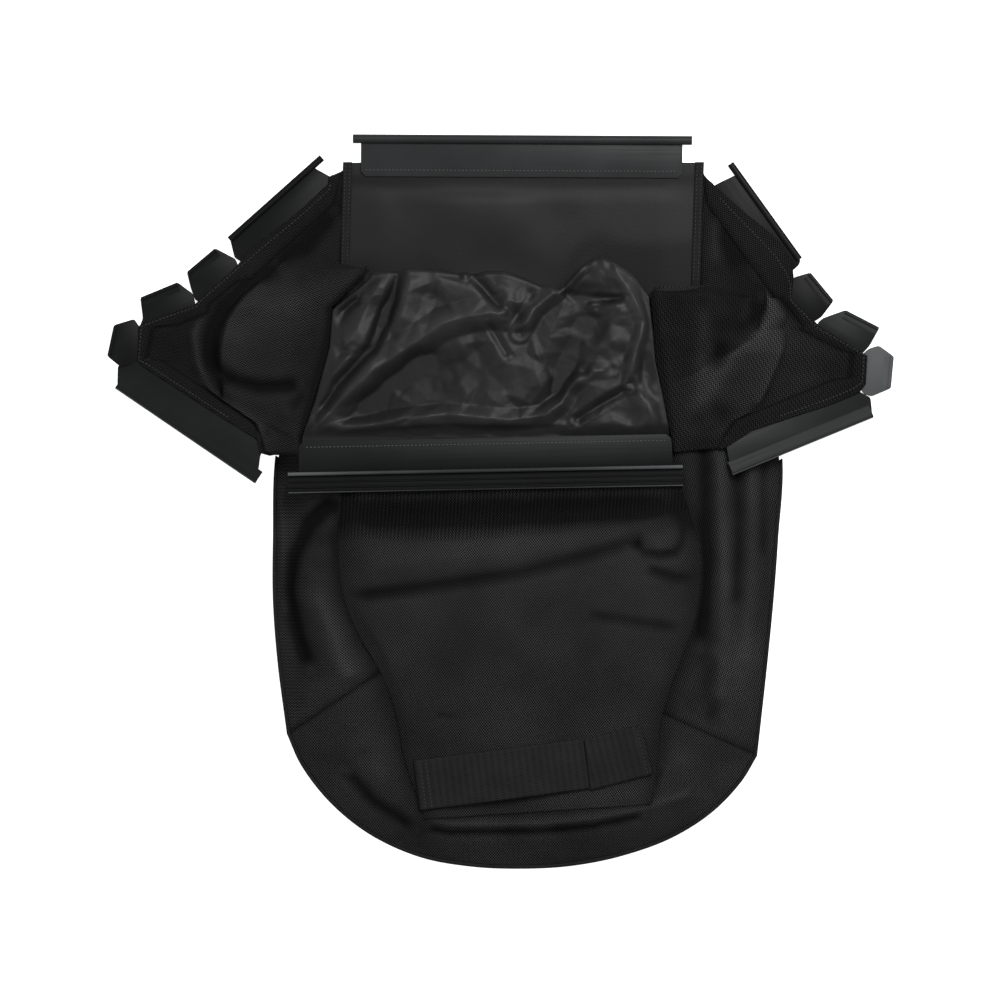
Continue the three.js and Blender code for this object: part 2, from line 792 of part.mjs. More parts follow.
function endBandPoint(u, v) {
  const hem = inward(endArcLine.getPoint(mix(0.006, 0.994, u)));
  const inner = endBandInner(u);
  const x = mix(hem.x, inner.x, v);
  const y = mix(hem.y, inner.y, v);
  const level = mix(bodyTop, frontBase(inner.x, inner.y), Math.sin((v * Math.PI) / 2));
  const fold = foldHeight(endBandFolds, x, y) * fade(v, 0.15) * fade(u, 0.05);
  return place(x, y, Math.max(bodyTop, level + fold));
}
addMesh("end_band", sheetGeometry(endBandPoint, 40, 6, clothThickness, true), meshCloth());

// Hem: the bound seam round the body, on the floor
function hemGeometry() {
  const left = hemLeftLine.getPoints(24).filter((p) => p.y < 60);
  const right = hemRightLine.getPoints(24).filter((p) => p.y < 56).reverse();
  const arc = endArcLine.getPoints(36).slice(1, -1);
  const path = [...left, ...arc, ...right];
  const point = (u, v) => {
    const at = path[Math.round(v * (path.length - 1))];
    const innerSide = inward(at).sub(at).setLength(hemWidth * u);
    return place(at.x + innerSide.x, at.y + innerSide.y, hemHeight);
  };
  return sheetGeometry(point, 1, path.length - 1, hemHeight, true);
}
addMesh("body_hem", hemGeometry(), webbing());

// Handle of webbing across the closed end of the front panel, with a short end length beside it
function strap(centreX, centreY, length, arch) {
  const turn = THREE.MathUtils.degToRad(strapTurn);
  return (u, v) => {
    const along = (v - 0.5) * length;
    const across = (u - 0.5) * strapWidth;
    const x = centreX + along * Math.cos(turn) - across * Math.sin(turn);
    const y = centreY + along * Math.sin(turn) + across * Math.cos(turn);
    const rise = arch * Math.sin(Math.PI * v) ** 2;
    const under = frontBase(x, y) + strapHump * Math.exp(-(((across + strapWidth / 2) / 12) ** 2));
    return place(x, y, under + strapSeat + strapThickness + rise);
  };
}
const strapStep = (strapLength + strapEndLength) / 2;
const turnRadians = THREE.MathUtils.degToRad(strapTurn);
const endX = strapX + (strapStep + seamGap) * Math.cos(turnRadians);
const endY = strapY + (strapStep + seamGap) * Math.sin(turnRadians);
const handle = strap(strapX, strapY, strapLength, strapArch);
const strapEnd = strap(endX, endY, strapEndLength, 0);
addMesh("handle_strap", sheetGeometry(handle, 2, 16, strapThickness, true), webbing());
addMesh("strap_end", sheetGeometry(strapEnd, 2, 6, strapThickness, true), webbing());

// The bag stands on the floor with the origin under the middle of its box
const box = new THREE.Box3().setFromObject(group, true);
const centre = box.getCenter(place(0, 0, 0));
group.position.set(-centre.x, -centre.y, -box.min.z);

export default group;
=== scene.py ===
import math
import random
import bpy
import bmesh
import numpy as np
from mathutils import Matrix, Vector, noise
from mathutils.bvhtree import BVHTree
from mathutils.geometry import delaunay_2d_cdt


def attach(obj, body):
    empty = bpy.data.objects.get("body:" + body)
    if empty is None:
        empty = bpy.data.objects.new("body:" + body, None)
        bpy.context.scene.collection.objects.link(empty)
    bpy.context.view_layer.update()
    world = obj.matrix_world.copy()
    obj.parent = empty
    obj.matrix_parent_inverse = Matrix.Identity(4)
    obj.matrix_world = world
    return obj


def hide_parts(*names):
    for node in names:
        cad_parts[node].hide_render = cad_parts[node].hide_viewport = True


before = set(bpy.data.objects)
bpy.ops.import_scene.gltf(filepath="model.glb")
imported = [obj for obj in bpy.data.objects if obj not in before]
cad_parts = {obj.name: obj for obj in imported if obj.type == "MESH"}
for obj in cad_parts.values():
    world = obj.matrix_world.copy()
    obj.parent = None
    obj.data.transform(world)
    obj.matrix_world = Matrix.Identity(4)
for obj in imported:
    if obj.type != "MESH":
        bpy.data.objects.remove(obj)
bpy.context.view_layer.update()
print("frame loaded")

# All sizes are millimetres in the plan of the lying bag: +Y points to the mouth, +Z up.
mm = 0.001
bagZero = np.array((0.76, 0, 0))     # where the bag's own zero lies in the frame
toFrame = Matrix.Scale(mm, 4) @ Matrix.Translation(bagZero)

cloth = {"thickness": 0.9, "cadThickness": 1.6, "gap": 0.3}
body = {
    "left": -225,
    "right": 280,
    "mouthEnd": 367,
    "frontHeight": 44,
    "endHeight": 24,
    "slope": (-337, -60),     # the stretch of the bag's length where its height changes
    "crown": 5,
    "deflectorEnd": 195,
}


def mix(a, b, t):
    return a + (b - a) * t


def smooth(x, low, high):
    t = np.clip((x - low) / (high - low), 0, 1)
    return t * t * (3 - 2 * t)


def fade(t, edge):
    return smooth(t, 0, edge) * smooth(1 - t, 0, edge)


def bell(value, middle, width):
    return np.exp(-(((value - middle) / width) ** 2))


# A point on the smooth curve through the given points
def curvePoint(points, t):
    last = len(points) - 1
    i = min(int(t * last), last - 1)
    w = t * last - i
    p1, p2 = Vector(points[i]), Vector(points[i + 1])
    p0 = Vector(points[i - 1]) if i > 0 else 2 * p1 - p2
    p3 = Vector(points[i + 2]) if i + 2 <= last else 2 * p2 - p1
    d0, d1, d2 = (math.sqrt((a - b).length) for a, b in ((p0, p1), (p1, p2), (p2, p3)))
    m1 = ((p1 - p0) / d0 - (p2 - p0) / (d0 + d1) + (p2 - p1) / d1) * d1
    m2 = ((p2 - p1) / d1 - (p3 - p1) / (d1 + d2) + (p3 - p2) / d2) * d1
    start = p1 * (2 * w**3 - 3 * w**2 + 1) + m1 * (w**3 - 2 * w**2 + w)
    return start + p2 * (3 * w**2 - 2 * w**3) + m2 * (w**3 - w**2)


# Lines in plan: a table of shares, x and y that np.interp reads
def straightLine(points):
    x, y = np.array(points, dtype=float).T
    return np.linspace(0, 1, len(points)), x, y


def curveLine(points, steps=240):
    return straightLine([curvePoint(points, t) for t in np.linspace(0, 1, steps + 1)])


def along(line, t):
    return np.interp(t, line[0], line[1]), np.interp(t, line[0], line[2])


# Folds: each is a line in plan, a half width, a height and, for a lap, how far its left side stays up
folding = {"tentWidth": 1.9, "endReach": 2.2, "lapEndReach": 3}     # in half widths of the fold


def signedDistance(line, x, y):
    nearest, side = np.full(np.shape(x), 1e9), np.ones(np.shape(x))
    for (ax, ay), (bx, by) in zip(line, line[1:]):
        dx, dy = bx - ax, by - ay
        share = np.clip(((x - ax) * dx + (y - ay) * dy) / (dx * dx + dy * dy), 0, 1)
        away = np.hypot(x - ax - share * dx, y - ay - share * dy)
        turn = np.sign(dx * (y - ay) - dy * (x - ax))
        side = np.where(away < nearest, turn, side)
        nearest = np.minimum(nearest, away)
    return nearest, side


def endFade(line, x, y, reach):
    starts = np.hypot(x - line[0][0], y - line[0][1])
    ends = np.hypot(x - line[-1][0], y - line[-1][1])
    return smooth(starts, 0, reach) * smooth(ends, 0, reach)


def foldHeight(folds, x, y, sharp=0):
    height = np.zeros(np.shape(x))
    for line, width, rise, *lap in folds:
        away, side = signedDistance(line, x, y)
        if not lap:
            tent = np.maximum(0, 1 - away / width / folding["tentWidth"])
            profile = mix(bell(away, 0, width), tent, sharp)
            height += rise * profile * endFade(line, x, y, folding["endReach"] * width)
            continue
        reach = side * away
        step = smooth(reach, -width / 2, width / 2) * np.exp(-np.maximum(reach, 0) / lap[0])
        height += rise * step * endFade(line, x, y, folding["lapEndReach"] * width)
    return height


# A field of flat facets between sharp creases, as in crumpled cloth
def crumpleField(box, spacing, rise, seed):
    pick = random.Random(seed)
    left, right, low, high = box
    shake = 0.45     # how far a corner strays from its place, in spacings
    spots = []
    for i in range(int((right - left) / spacing) + 3):
        for j in range(int((high - low) / spacing) + 3):
            across, up = pick.uniform(-shake, shake), pick.uniform(-shake, shake)
            spots.append(Vector((left + (i - 1 + across) * spacing, low + (j - 1 + up) * spacing)))
    net = delaunay_2d_cdt(spots, [], [], 0, 1e-4)
    hills = [Vector((p.x, p.y, pick.uniform(-rise, rise))) for p in net[0]]
    tree = BVHTree.FromPolygons(hills, net[2])

    def height(x, y):
        hits = (tree.ray_cast(Vector((a, b, 999)), Vector((0, 0, -1)))[0] for a, b in zip(x, y))
        return np.array([hit.z if hit else 0 for hit in hits])

    return height


def softNoise(x, y, size, seed):
    return np.array([noise.noise(Vector((a / size, b / size, seed))) for a, b in zip(x, y)])


# The placed folds and the seeded waves of one cloth; a wave has a height, a size and a seed
def clothRise(folds, waves, x, y):
    return foldHeight(folds, x, y) + sum(rise * softNoise(x, y, size, seed) for rise, size, seed in waves)


# Painted light and shade of a cloth: ridges are painted lighter, hollows darker; a shade is where it lies, how wide
# and how dark it is
def shaded(value, shade):
    middle, width, dark = shade
    return dark * bell(value, middle, width)


def paintedLightAndShade(fold, full, shade):
    return np.clip(fold / full - shade, -1, 1)


# Sheets
def addPiece(name, bm, material):
    mesh = bpy.data.meshes.new(name)
    bm.to_mesh(mesh)
    bm.free()
    piece = bpy.data.objects.new(name, mesh)
    bpy.context.scene.collection.objects.link(piece)
    mesh.materials.append(material)
    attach(piece, "root")
    return piece


def shadeSmooth(piece):
    for face in piece.data.polygons:
        face.use_smooth = True


def gridMesh(surface, across, lengthwise, weaveTurn=0, ribs=None):
    bm = bmesh.new()
    bmesh.ops.create_grid(bm, x_segments=across, y_segments=lengthwise, size=0.5)
    bm.verts.ensure_lookup_table()
    u = np.array([v.co.x for v in bm.verts]) + 0.5
    v = np.array([v.co.y for v in bm.verts]) + 0.5
    # A surface may give a fourth value, its painted light and shade, kept on each point
    x, y, z, *paintedLightShade = [np.broadcast_to(part, u.shape) for part in surface(u, v)]
    tone = bm.verts.layers.float.new("paintedLightShade")
    ribbed = bm.verts.layers.float.new("ribs")
    share = np.broadcast_to(ribs(x, y) if ribs else 0.0, u.shape)
    for i, vert in enumerate(bm.verts):
        vert.co = (np.array((x[i], y[i], z[i])) + bagZero) * mm
        vert[tone] = paintedLightShade[0][i] if paintedLightShade else 0
        vert[ribbed] = share[i]
    bmesh.ops.remove_doubles(bm, verts=bm.verts, dist=1e-6)
    bm.normal_update()
    if sum(face.normal.z * face.calc_area() for face in bm.faces) < 0:
        bmesh.ops.reverse_faces(bm, faces=bm.faces)
    weave = bm.loops.layers.uv.new("weave")
    turn = Matrix.Rotation(math.radians(weaveTurn), 2)
    for face in bm.faces:
        for loop in face.loops:
            loop[weave].uv = turn @ loop.vert.co.xy
    return bm


def sheetPiece(name, bm, material, thickness=None):
    piece = addPiece(name, bm, material)
    shadeSmooth(piece)
    wall = piece.modifiers.new("thickness", "SOLIDIFY")
    wall.thickness = (thickness or cloth["thickness"]) * mm
    wall.offset = -1
    return piece


# Materials
def addNode(tree, kind, inputs=None, **settings):
    node = tree.nodes.new(kind)
    for key, value in settings.items():
        setattr(node, key, value)
    for key, value in (inputs or {}).items():
        if isinstance(value, bpy.types.NodeSocket):
            tree.links.new(value, node.inputs[key])
        else:
            node.inputs[key].default_value = value
    return node


def calculate(tree, operation, a, b=0.0):
    return addNode(tree, "ShaderNodeMath", {0: a, 1: b}, operation=operation).outputs[0]


def mixColour(tree, share, first, second):
    return addNode(tree, "ShaderNodeMix", {0: share, 6: first, 7: second}, data_type="RGBA").outputs[2]


# A node group with its inputs, named with their defaults (None is a vector), and its outputs
def newGroup(name, inputs, outputs):
    tree = bpy.data.node_groups.new(name, "ShaderNodeTree")
    kinds = {type(None): "NodeSocketVector", float: "NodeSocketFloat", tuple: "NodeSocketColor"}
    for label, value in inputs.items():
        socket = tree.interface.new_socket(label, in_out="INPUT", socket_type=kinds[type(value)])
        if value is not None:
            socket.default_value = value
    for label in outputs:
        kind = kinds[tuple] if label == "Color" else kinds[float]
        tree.interface.new_socket(label, in_out="OUTPUT", socket_type=kind)
    return tree, tree.nodes.new("NodeGroupInput").outputs, tree.nodes.new("NodeGroupOutput").inputs


knitting = {
    "wobbleScale": 70.0,
    "wobble": 0.0018,     # how far the knit strays, in metres
    "squash": 0.8,
    "ribPitch": 0.7,
    "ribDepth": 0.8,
    "holeEdge": (0.15, 0.6),
}


def knitMesh():
    sockets = {"Vector": None, "Pitch": 0.0028, "Ribs": 0.0}
    tree, given, result = newGroup("knitMesh", sockets, ("Hole", "Height"))
    inputs = {"Vector": given["Vector"], "Scale": knitting["wobbleScale"], "Detail": 2.0}
    wobble = addNode(tree, "ShaderNodeTexNoise", inputs).outputs["Color"]
    shift = addNode(tree, "ShaderNodeVectorMath", {0: wobble, 1: (0.5, 0.5, 0.5)}, operation="SUBTRACT")
    inputs = {0: shift.outputs[0], "Scale": knitting["wobble"]}
    shift = addNode(tree, "ShaderNodeVectorMath", inputs, operation="SCALE")
    moved = addNode(tree, "ShaderNodeVectorMath", {0: given["Vector"], 1: shift.outputs[0]}, operation="ADD")
    parts = addNode(tree, "ShaderNodeSeparateXYZ", {0: moved.outputs[0]})
    x = calculate(tree, "DIVIDE", parts.outputs[0], given["Pitch"])
    y = calculate(tree, "DIVIDE", parts.outputs[1], given["Pitch"])
    y = calculate(tree, "MULTIPLY", y, knitting["squash"])

    def wave(value):
        turn = calculate(tree, "MULTIPLY", value, math.pi)
        return calculate(tree, "ABSOLUTE", calculate(tree, "SINE", turn))

    rising, falling = (wave(calculate(tree, operation, x, y)) for operation in ("ADD", "SUBTRACT"))
    diamond = calculate(tree, "MULTIPLY", rising, falling)
    rib = wave(calculate(tree, "MULTIPLY", x, knitting["ribPitch"]))
    rows = calculate(tree, "MULTIPLY", rib, knitting["ribDepth"])
    cell = addNode(tree, "ShaderNodeMix", {0: given["Ribs"], 2: diamond, 3: rows}).outputs[0]
    low, high = knitting["holeEdge"]
    inputs = {"Value": cell, "From Min": low, "From Max": high}
    hole = addNode(tree, "ShaderNodeMapRange", inputs, interpolation_type="SMOOTHSTEP")
    tree.links.new(hole.outputs[0], result["Hole"])
    tree.links.new(calculate(tree, "SUBTRACT", 1.0, cell), result["Height"])
    return tree


# Painted light and shade: the colour is darkened towards Low below zero and lightened towards High above zero
def paintedLightShading():
    sockets = {"Color": (0.02, 0.02, 0.02, 1), "PaintedLightShade": 0.0, "Low": 0.4, "High": 1.6}
    tree, given, result = newGroup("paintedLightShading", sockets, ("Color",))
    inputs = {"Value": given["PaintedLightShade"], "From Min": -1.0, "From Max": 0.0, "To Min": given["Low"]}
    low = addNode(tree, "ShaderNodeMapRange", inputs)
    inputs = {"Value": given["PaintedLightShade"], "To Min": 1.0, "To Max": given["High"]}
    high = addNode(tree, "ShaderNodeMapRange", inputs)
    share = calculate(tree, "MULTIPLY", low.outputs[0], high.outputs[0])
    tone = addNode(tree, "ShaderNodeVectorMath", {0: given["Color"], "Scale": share}, operation="SCALE")
    tree.links.new(tone.outputs[0], result["Color"])
    return tree


def threadWeave():
    tree, given, result = newGroup("threadWeave", {"Vector": None, "Pitch": 0.001, "Ribs": 1.0}, ("Height",))
    parts = addNode(tree, "ShaderNodeSeparateXYZ", {0: given["Vector"]})
    x, y = (
        calculate(tree, "MULTIPLY", calculate(tree, "DIVIDE", parts.outputs[k], given["Pitch"]), math.pi)
        for k in (0, 1)
    )
    y = calculate(tree, "MULTIPLY", y, given["Ribs"])
    a, b = (calculate(tree, "ABSOLUTE", calculate(tree, "SINE", value)) for value in (x, y))
    tree.links.new(calculate(tree, "MAXIMUM", a, b), result["Height"])
    return tree


def patchyTone():
    sockets = {"Vector": None, "Scale": 12.0, "Light": (0.02, 0.02, 0.02, 1), "Dark": (0.01, 0.01, 0.01, 1)}
    tree, given, result = newGroup("patchyTone", sockets, ("Color",))
    inputs = {"Vector": given["Vector"], "Scale": given["Scale"], "Detail": 4.0}
    cloud = addNode(tree, "ShaderNodeTexNoise", inputs)
    inputs = {"Value": cloud.outputs[0], "From Min": 0.3, "From Max": 0.7}
    spread = addNode(tree, "ShaderNodeMapRange", inputs)
    tree.links.new(mixColour(tree, spread.outputs[0], given["Dark"], given["Light"]), result["Color"])
    return tree


groups = {"knit": knitMesh(), "weave": threadWeave(), "tone": patchyTone(), "paintedLightShade": paintedLightShading()}


def startMaterial(name, look):
    material = bpy.data.materials.new(name)
    material.use_nodes = True
    tree = material.node_tree
    shader = tree.nodes["Principled BSDF"]
    shader.inputs["Roughness"].default_value = look["roughness"]
    shader.inputs["Specular IOR Level"].default_value = look["specular"]
    return material, tree, shader


def placeGroup(tree, key, inputs):
    return addNode(tree, "ShaderNodeGroup", inputs, node_tree=groups[key]).outputs


def grey(level, tint=(1.0, 1.0, 1.0)):
    return (level * tint[0], level * tint[1], level * tint[2], 1)


def attribute(tree, name):
    return addNode(tree, "ShaderNodeAttribute", attribute_name=name).outputs["Fac"]


def weaveSpot(tree):
    return addNode(tree, "ShaderNodeUVMap", uv_map="weave").outputs[0]


def cloudyTone(tree, vector, look):
    tint = look.get("tint", (1.0, 1.0, 1.0))
    light, dark = grey(look["light"], tint), grey(look["dark"], tint)
    inputs = {"Vector": vector, "Scale": look["cloud"], "Light": light, "Dark": dark}
    return placeGroup(tree, "tone", inputs)["Color"]


def painted(tree, shader, colour, look):
    inputs = {"Color": colour, "PaintedLightShade": attribute(tree, "paintedLightShade"), "Low": look["low"], "High": look["high"]}
    tree.links.new(placeGroup(tree, "paintedLightShade", inputs)["Color"], shader.inputs["Base Color"])


def bumped(tree, shader, height, bump, under=None):
    inputs = {"Height": height, "Strength": bump[0], "Distance": bump[1]}
    if under:
        inputs["Normal"] = under
    normal = addNode(tree, "ShaderNodeBump", inputs).outputs[0]
    tree.links.new(normal, shader.inputs["Normal"])
    return normal


def meshMaterial(look):
    material, tree, shader = startMaterial("meshCloth", look)
    uv = weaveSpot(tree)
    inputs = {"Vector": uv, "Pitch": look["pitch"] * mm, "Ribs": attribute(tree, "ribs")}
    knit = placeGroup(tree, "knit", inputs)
    colour = mixColour(tree, knit["Hole"], cloudyTone(tree, uv, look), grey(look["hole"]))
    painted(tree, shader, colour, look)
    inputs = {"Value": knit["Hole"], "To Min": look["roughness"], "To Max": 1.0}
    rough = addNode(tree, "ShaderNodeMapRange", inputs)
    tree.links.new(rough.outputs[0], shader.inputs["Roughness"])
    bumped(tree, shader, knit["Height"], look["bump"])
    return material


def nylonMaterial(look):
    material, tree, shader = startMaterial("nylonCloth", look)
    uv = weaveSpot(tree)
    painted(tree, shader, cloudyTone(tree, uv, look), look)
    weave = placeGroup(tree, "weave", {"Vector": uv, "Pitch": look["pitch"] * mm})
    inputs = {"Vector": uv, "Scale": look["crinkle"], "Detail": 3.0, "Roughness": 0.5}
    crinkle = addNode(tree, "ShaderNodeTexNoise", inputs)
    fine = bumped(tree, shader, weave["Height"], look["weaveBump"])
    bumped(tree, shader, crinkle.outputs[0], look["bump"], fine)
    return material


def vinylMaterial(look):
    material, tree, shader = startMaterial("vinylSheet", look)
    spot = addNode(tree, "ShaderNodeTexCoord").outputs["Object"]
    painted(tree, shader, cloudyTone(tree, spot, look), look)
    grain = addNode(tree, "ShaderNodeTexNoise", {"Vector": spot, "Scale": look["grain"], "Detail": 3.0})
    bumped(tree, shader, grain.outputs[0], look["bump"])
    return material


def plasticMaterial(look):
    material, tree, shader = startMaterial("clipPlastic", look)
    uv = weaveSpot(tree)
    painted(tree, shader, cloudyTone(tree, uv, look), look)
    drawn = addNode(tree, "ShaderNodeMapping", {"Vector": uv, "Scale": look["streaks"]})
    streaks = addNode(tree, "ShaderNodeTexNoise", {"Vector": drawn.outputs[0], "Scale": 1.0, "Detail": 3.0})
    low, high = look["roughness"] - look["uneven"], look["roughness"] + look["uneven"]
    rough = addNode(tree, "ShaderNodeMapRange", {"Value": streaks.outputs[0], "To Min": low, "To Max": high})
    tree.links.new(rough.outputs[0], shader.inputs["Roughness"])
    bumped(tree, shader, streaks.outputs[0], look["bump"])
    return material


def ribbedMaterial(name, look):
    material, tree, shader = startMaterial(name, look)
    uv = weaveSpot(tree)
    weave = placeGroup(tree, "weave", {"Vector": uv, "Pitch": look["pitch"] * mm, "Ribs": look["ribs"]})
    colour = mixColour(tree, weave["Height"], grey(look["hole"]), cloudyTone(tree, uv, look))
    painted(tree, shader, colour, look)
    bumped(tree, shader, weave["Height"], look["bump"])
    return material


# Finishes: light and dark patches and their scale, darkest painted shade and lightest painted light, bump strength
# and depth
looks = {
    "mesh": {
        "light": 0.058, "dark": 0.034, "cloud": 9.0, "low": 0.27, "high": 1.7, "hole": 0.0008, "pitch": 2.5,
        "roughness": 0.75, "specular": 0.07, "bump": (0.8, 0.0006),
    },
    "nylon": {
        "light": 0.0125, "dark": 0.0085, "cloud": 14.0, "low": 0.3, "high": 2.4, "pitch": 0.9, "crinkle": 45.0,
        "roughness": 0.48, "specular": 0.27, "bump": (0.25, 0.002), "weaveBump": (0.15, 0.0002),
    },
    "vinyl": {
        "light": 0.017, "dark": 0.0135, "cloud": 8.0, "low": 0.25, "high": 1.4, "grain": 420.0,
        "roughness": 0.42, "specular": 0.14, "bump": (0.25, 0.0003),
    },
    "plastic": {
        "light": 0.024, "dark": 0.018, "tint": (0.94, 1.0, 1.02), "cloud": 18.0, "low": 0.25, "high": 5.0,
        "streaks": (6.0, 420.0, 1.0), "roughness": 0.44, "uneven": 0.14, "specular": 0.12,
        "bump": (0.2, 0.0004),
    },
    "webbing": {
        "light": 0.016, "dark": 0.011, "cloud": 40.0, "low": 0.4, "high": 1.4, "hole": 0.003, "pitch": 2.4,
        "ribs": 0.35, "roughness": 0.7, "specular": 0.2, "bump": (0.8, 0.0006),
    },
    "tape": {
        "light": 0.016, "dark": 0.01, "cloud": 40.0, "low": 0.4, "high": 1.4, "hole": 0.004, "pitch": 1.2,
        "ribs": 1.0, "roughness": 0.75, "specular": 0.2, "bump": (0.5, 0.0006),
    },
    "thread": {
        "light": 0.22, "dark": 0.15, "cloud": 40.0, "low": 0.2, "high": 1.4, "hole": 0.09, "pitch": 0.4,
        "ribs": 1.0, "roughness": 0.6, "specular": 0.3, "bump": (0.2, 0.0006),
    },
}
materials = {
    "mesh": meshMaterial(looks["mesh"]),
    "nylon": nylonMaterial(looks["nylon"]),
    "vinyl": vinylMaterial(looks["vinyl"]),
    "plastic": plasticMaterial(looks["plastic"]),
    "webbing": ribbedMaterial("ribbedWebbing", looks["webbing"]),
    "tape": ribbedMaterial("bindingTape", looks["tape"]),
    "thread": ribbedMaterial("sewingThread", looks["thread"]),
}
print("materials made")

# Edge clips: where each lies, and how far its bead or channel and its plate reach from its outer edge
clipSizes = {
    "plateWidth": 33,
    "plateThickness": 2,
    "rise": 36,         # how much higher a lower clip's inner end is
    "tipLift": 2.4,
    "tabDepth": 31,
    "clothSide": -30,     # plate corners past this line lie under cloth and stay sharp
    "cornerRound": 2.2,
    "edgeRound": 0.5,
    "smoothAngle": 35,
}
plateUnder = cloth["cadThickness"] + cloth["gap"]
plateTop = plateUnder + clipSizes["plateThickness"]


def clipFrame(x, y, outward, z=0.0, slope=0.0):
    turned = Matrix.Rotation(math.radians(outward - 90), 4, "Z") @ Matrix.Rotation(-slope, 4, "Y")
    return Matrix.Translation((x, y, z)) @ turned


def sloped(x, y, outward, length, side):
    slope = math.asin(clipSizes["rise"] / length)
    middle = length / 2 * math.sin(slope) - plateUnder * math.cos(slope) + clipSizes["tipLift"]
    return clipFrame(x, y, outward, middle, side * slope)


cuffHeight = body["frontHeight"] + cloth["gap"]
clips = {
    "top_clip": {"frame": clipFrame(22, body["mouthEnd"] - 1.2, 89.7), "length": 339, "hook": 9},
    "bottom_clip": {"frame": clipFrame(-14.7, 11, -88.9, cuffHeight), "length": 391, "hook": 19},
    "left_upper_clip": {"frame": clipFrame(-227, 304.8, 131.7), "length": 123.5, "hook": 7},
    "right_upper_clip": {"frame": clipFrame(267.2, 291.3, 35.7), "length": 118, "hook": 7},
    "left_lower_clip": {"frame": sloped(-313.5, 64.1, -123.9, 168, -1), "hook": 11},
    "right_lower_clip": {"frame": sloped(299.4, 53.5, -67.9, 154, 1), "hook": 11},
    "left_corner_clip_1": {"frame": clipFrame(-298.5, 239, 130.2)},
    "left_corner_clip_2": {"frame": clipFrame(-340.5, 209, 112.4)},
    "left_corner_clip_3": {"frame": clipFrame(-389.5, 160, 167.9, cloth["gap"])},
    "right_corner_clip_1": {"frame": clipFrame(318, 215, 39.4)},
    "right_corner_clip_2": {"frame": clipFrame(357, 184, 62.7)},
    "right_corner_clip_3": {"frame": clipFrame(388.4, 129, -5.2, cloth["gap"])},
}
for part in clips.values():
    part["reach"] = part["hook"] + clipSizes["plateWidth"] if "hook" in part else clipSizes["tabDepth"]

# Where the cloth ends on each plate, from the binding round to the lower clip, in the clip's own plan
clothEdges = {
    "left_upper_clip": [(54, -22.6), (49, -27), (18, -28), (-3, -27.6), (-40, -25), (-60, -25)],
    "left_corner_clip_1": [(22, -26), (-25, -27)],
    "left_corner_clip_2": [(27, -25), (-24, -21)],
    "left_corner_clip_3": [(20, -24), (-13, -30.5)],
    "left_lower_clip": [(77, -34), (0, -35.5), (-64, -37.7)],
    "right_upper_clip": [(-50, -29), (-9.6, -20), (17.5, -12.2), (38, -9), (57, -10.7)],
    "right_corner_clip_1": [(-22, -14), (-7, -30), (28, -25)],
    "right_corner_clip_2": [(-28, -26), (26, -30)],
    "right_corner_clip_3": [(-14, -23), (14, -22)],
    "right_lower_clip": [(-76, -28), (-45, -27.8), (0, -31), (42, -33.8), (72, -28.2)],
}


# Height of the front of the lying bag, without folds
def frontBase(x, y):
    lengthwise = mix(body["endHeight"], body["frontHeight"], smooth(y, *body["slope"]))
    middle, half = (body["left"] + body["right"]) / 2, (body["right"] - body["left"]) / 2
    return lengthwise - body["crown"] * np.clip((x - middle) / half, -1, 1) ** 4


frontLeft = curveLine([
    (-75, -317), (-95, -259), (-105, -209), (-120, -169), (-138, -139), (-155, -99),
    (-162, -39), (-157, 11), (-160, 60), (-155, 140), (-136, 218),
])
frontRight = curveLine([
    (150, -302), (155, -269), (160, -219), (168, -189), (182, -150), (195, -110),
    (198, -50), (180, 11), (164, 60), (150, 132), (141, 196),
])
cornerSeam = {-1: 0.3, 1: 0.225}     # share along the front's edge where the corner seams meet it
crest = curveLine([
    (-128.5, 0), (-98, 5), (-70, 7.3), (-32, 7.8), (1, 11), (19, 8), (45, 0), (57, -1.5), (66, 6), (78, 20),
    (87, 28), (99.5, 32.5), (111, 29), (129, 19), (140, 9), (147.5, 0),
])


def crestBulge(x):
    return np.interp(x, crest[1], crest[2])


frontPanel = {
    "across": 172,
    "lengthwise": 270,
    "weaveTurn": 4,
    "crestFrom": 0.85,     # share of the length from which the cloth follows the nylon's crest
    "waves": [(1.6, 45, 3), (0.7, 18, 4)],
    "sideFade": 0.08,
    "endFade": 0.04,
    # Painted light and shade: a ridge or hollow of these sizes gets the fullest painted light or painted shade
    "ridgeTone": 20,       # a ridge this high is as light as the cloth gets, a hollow this deep as dark
    "hollowTone": 7,
    "clipShade": (-8, 22, 0.9),
    "sideShade": (0, 0.04, 0.5),
    "ribs": 0.36,
    "ribsEdge": [(-150, -50, 35, 138, 178), (-40, -43, -35, -18, -14)],
    "folds": [
        ([(-152, -62), (-59, -56), (60, -44), (160, -32)], 15, 5),
        ([(178, -14), (100, -26), (30, -34), (-50, -40), (-150, -38)], 5, 3.5, 22),
        ([(-176, -92), (-135, -94), (-100, -90), (-46, -82), (20, -73), (99, -52), (150, -36)], 7, -7),
        ([(130, -38), (142, -52), (158, -55), (173, -52), (180, -42), (183, -18)], 5, -7),
        ([(146, -44), (166, -42)], 6, 4),
        ([(140, -66), (172, -77), (198, -78)], 6, -6),
        ([(-150, -18), (-50, -16), (60, -12), (170, -6)], 12, -5),
        ([(82, -113), (140, -122), (184, -128)], 6, -4),
        ([(-75, -312), (50, -306), (145, -298)], 7, 2),
        ([(-153, -99), (-122, -150), (-108, -190)], 5, -5),
        ([(-70, -214), (-40, -216)], 4, -2),
        ([(-80, -140), (-20, -190)], 40, 3),
        ([(60, -160), (120, -130)], 30, -3),
        ([(20, -110), (60, -200)], 25, 2),
    ],
}


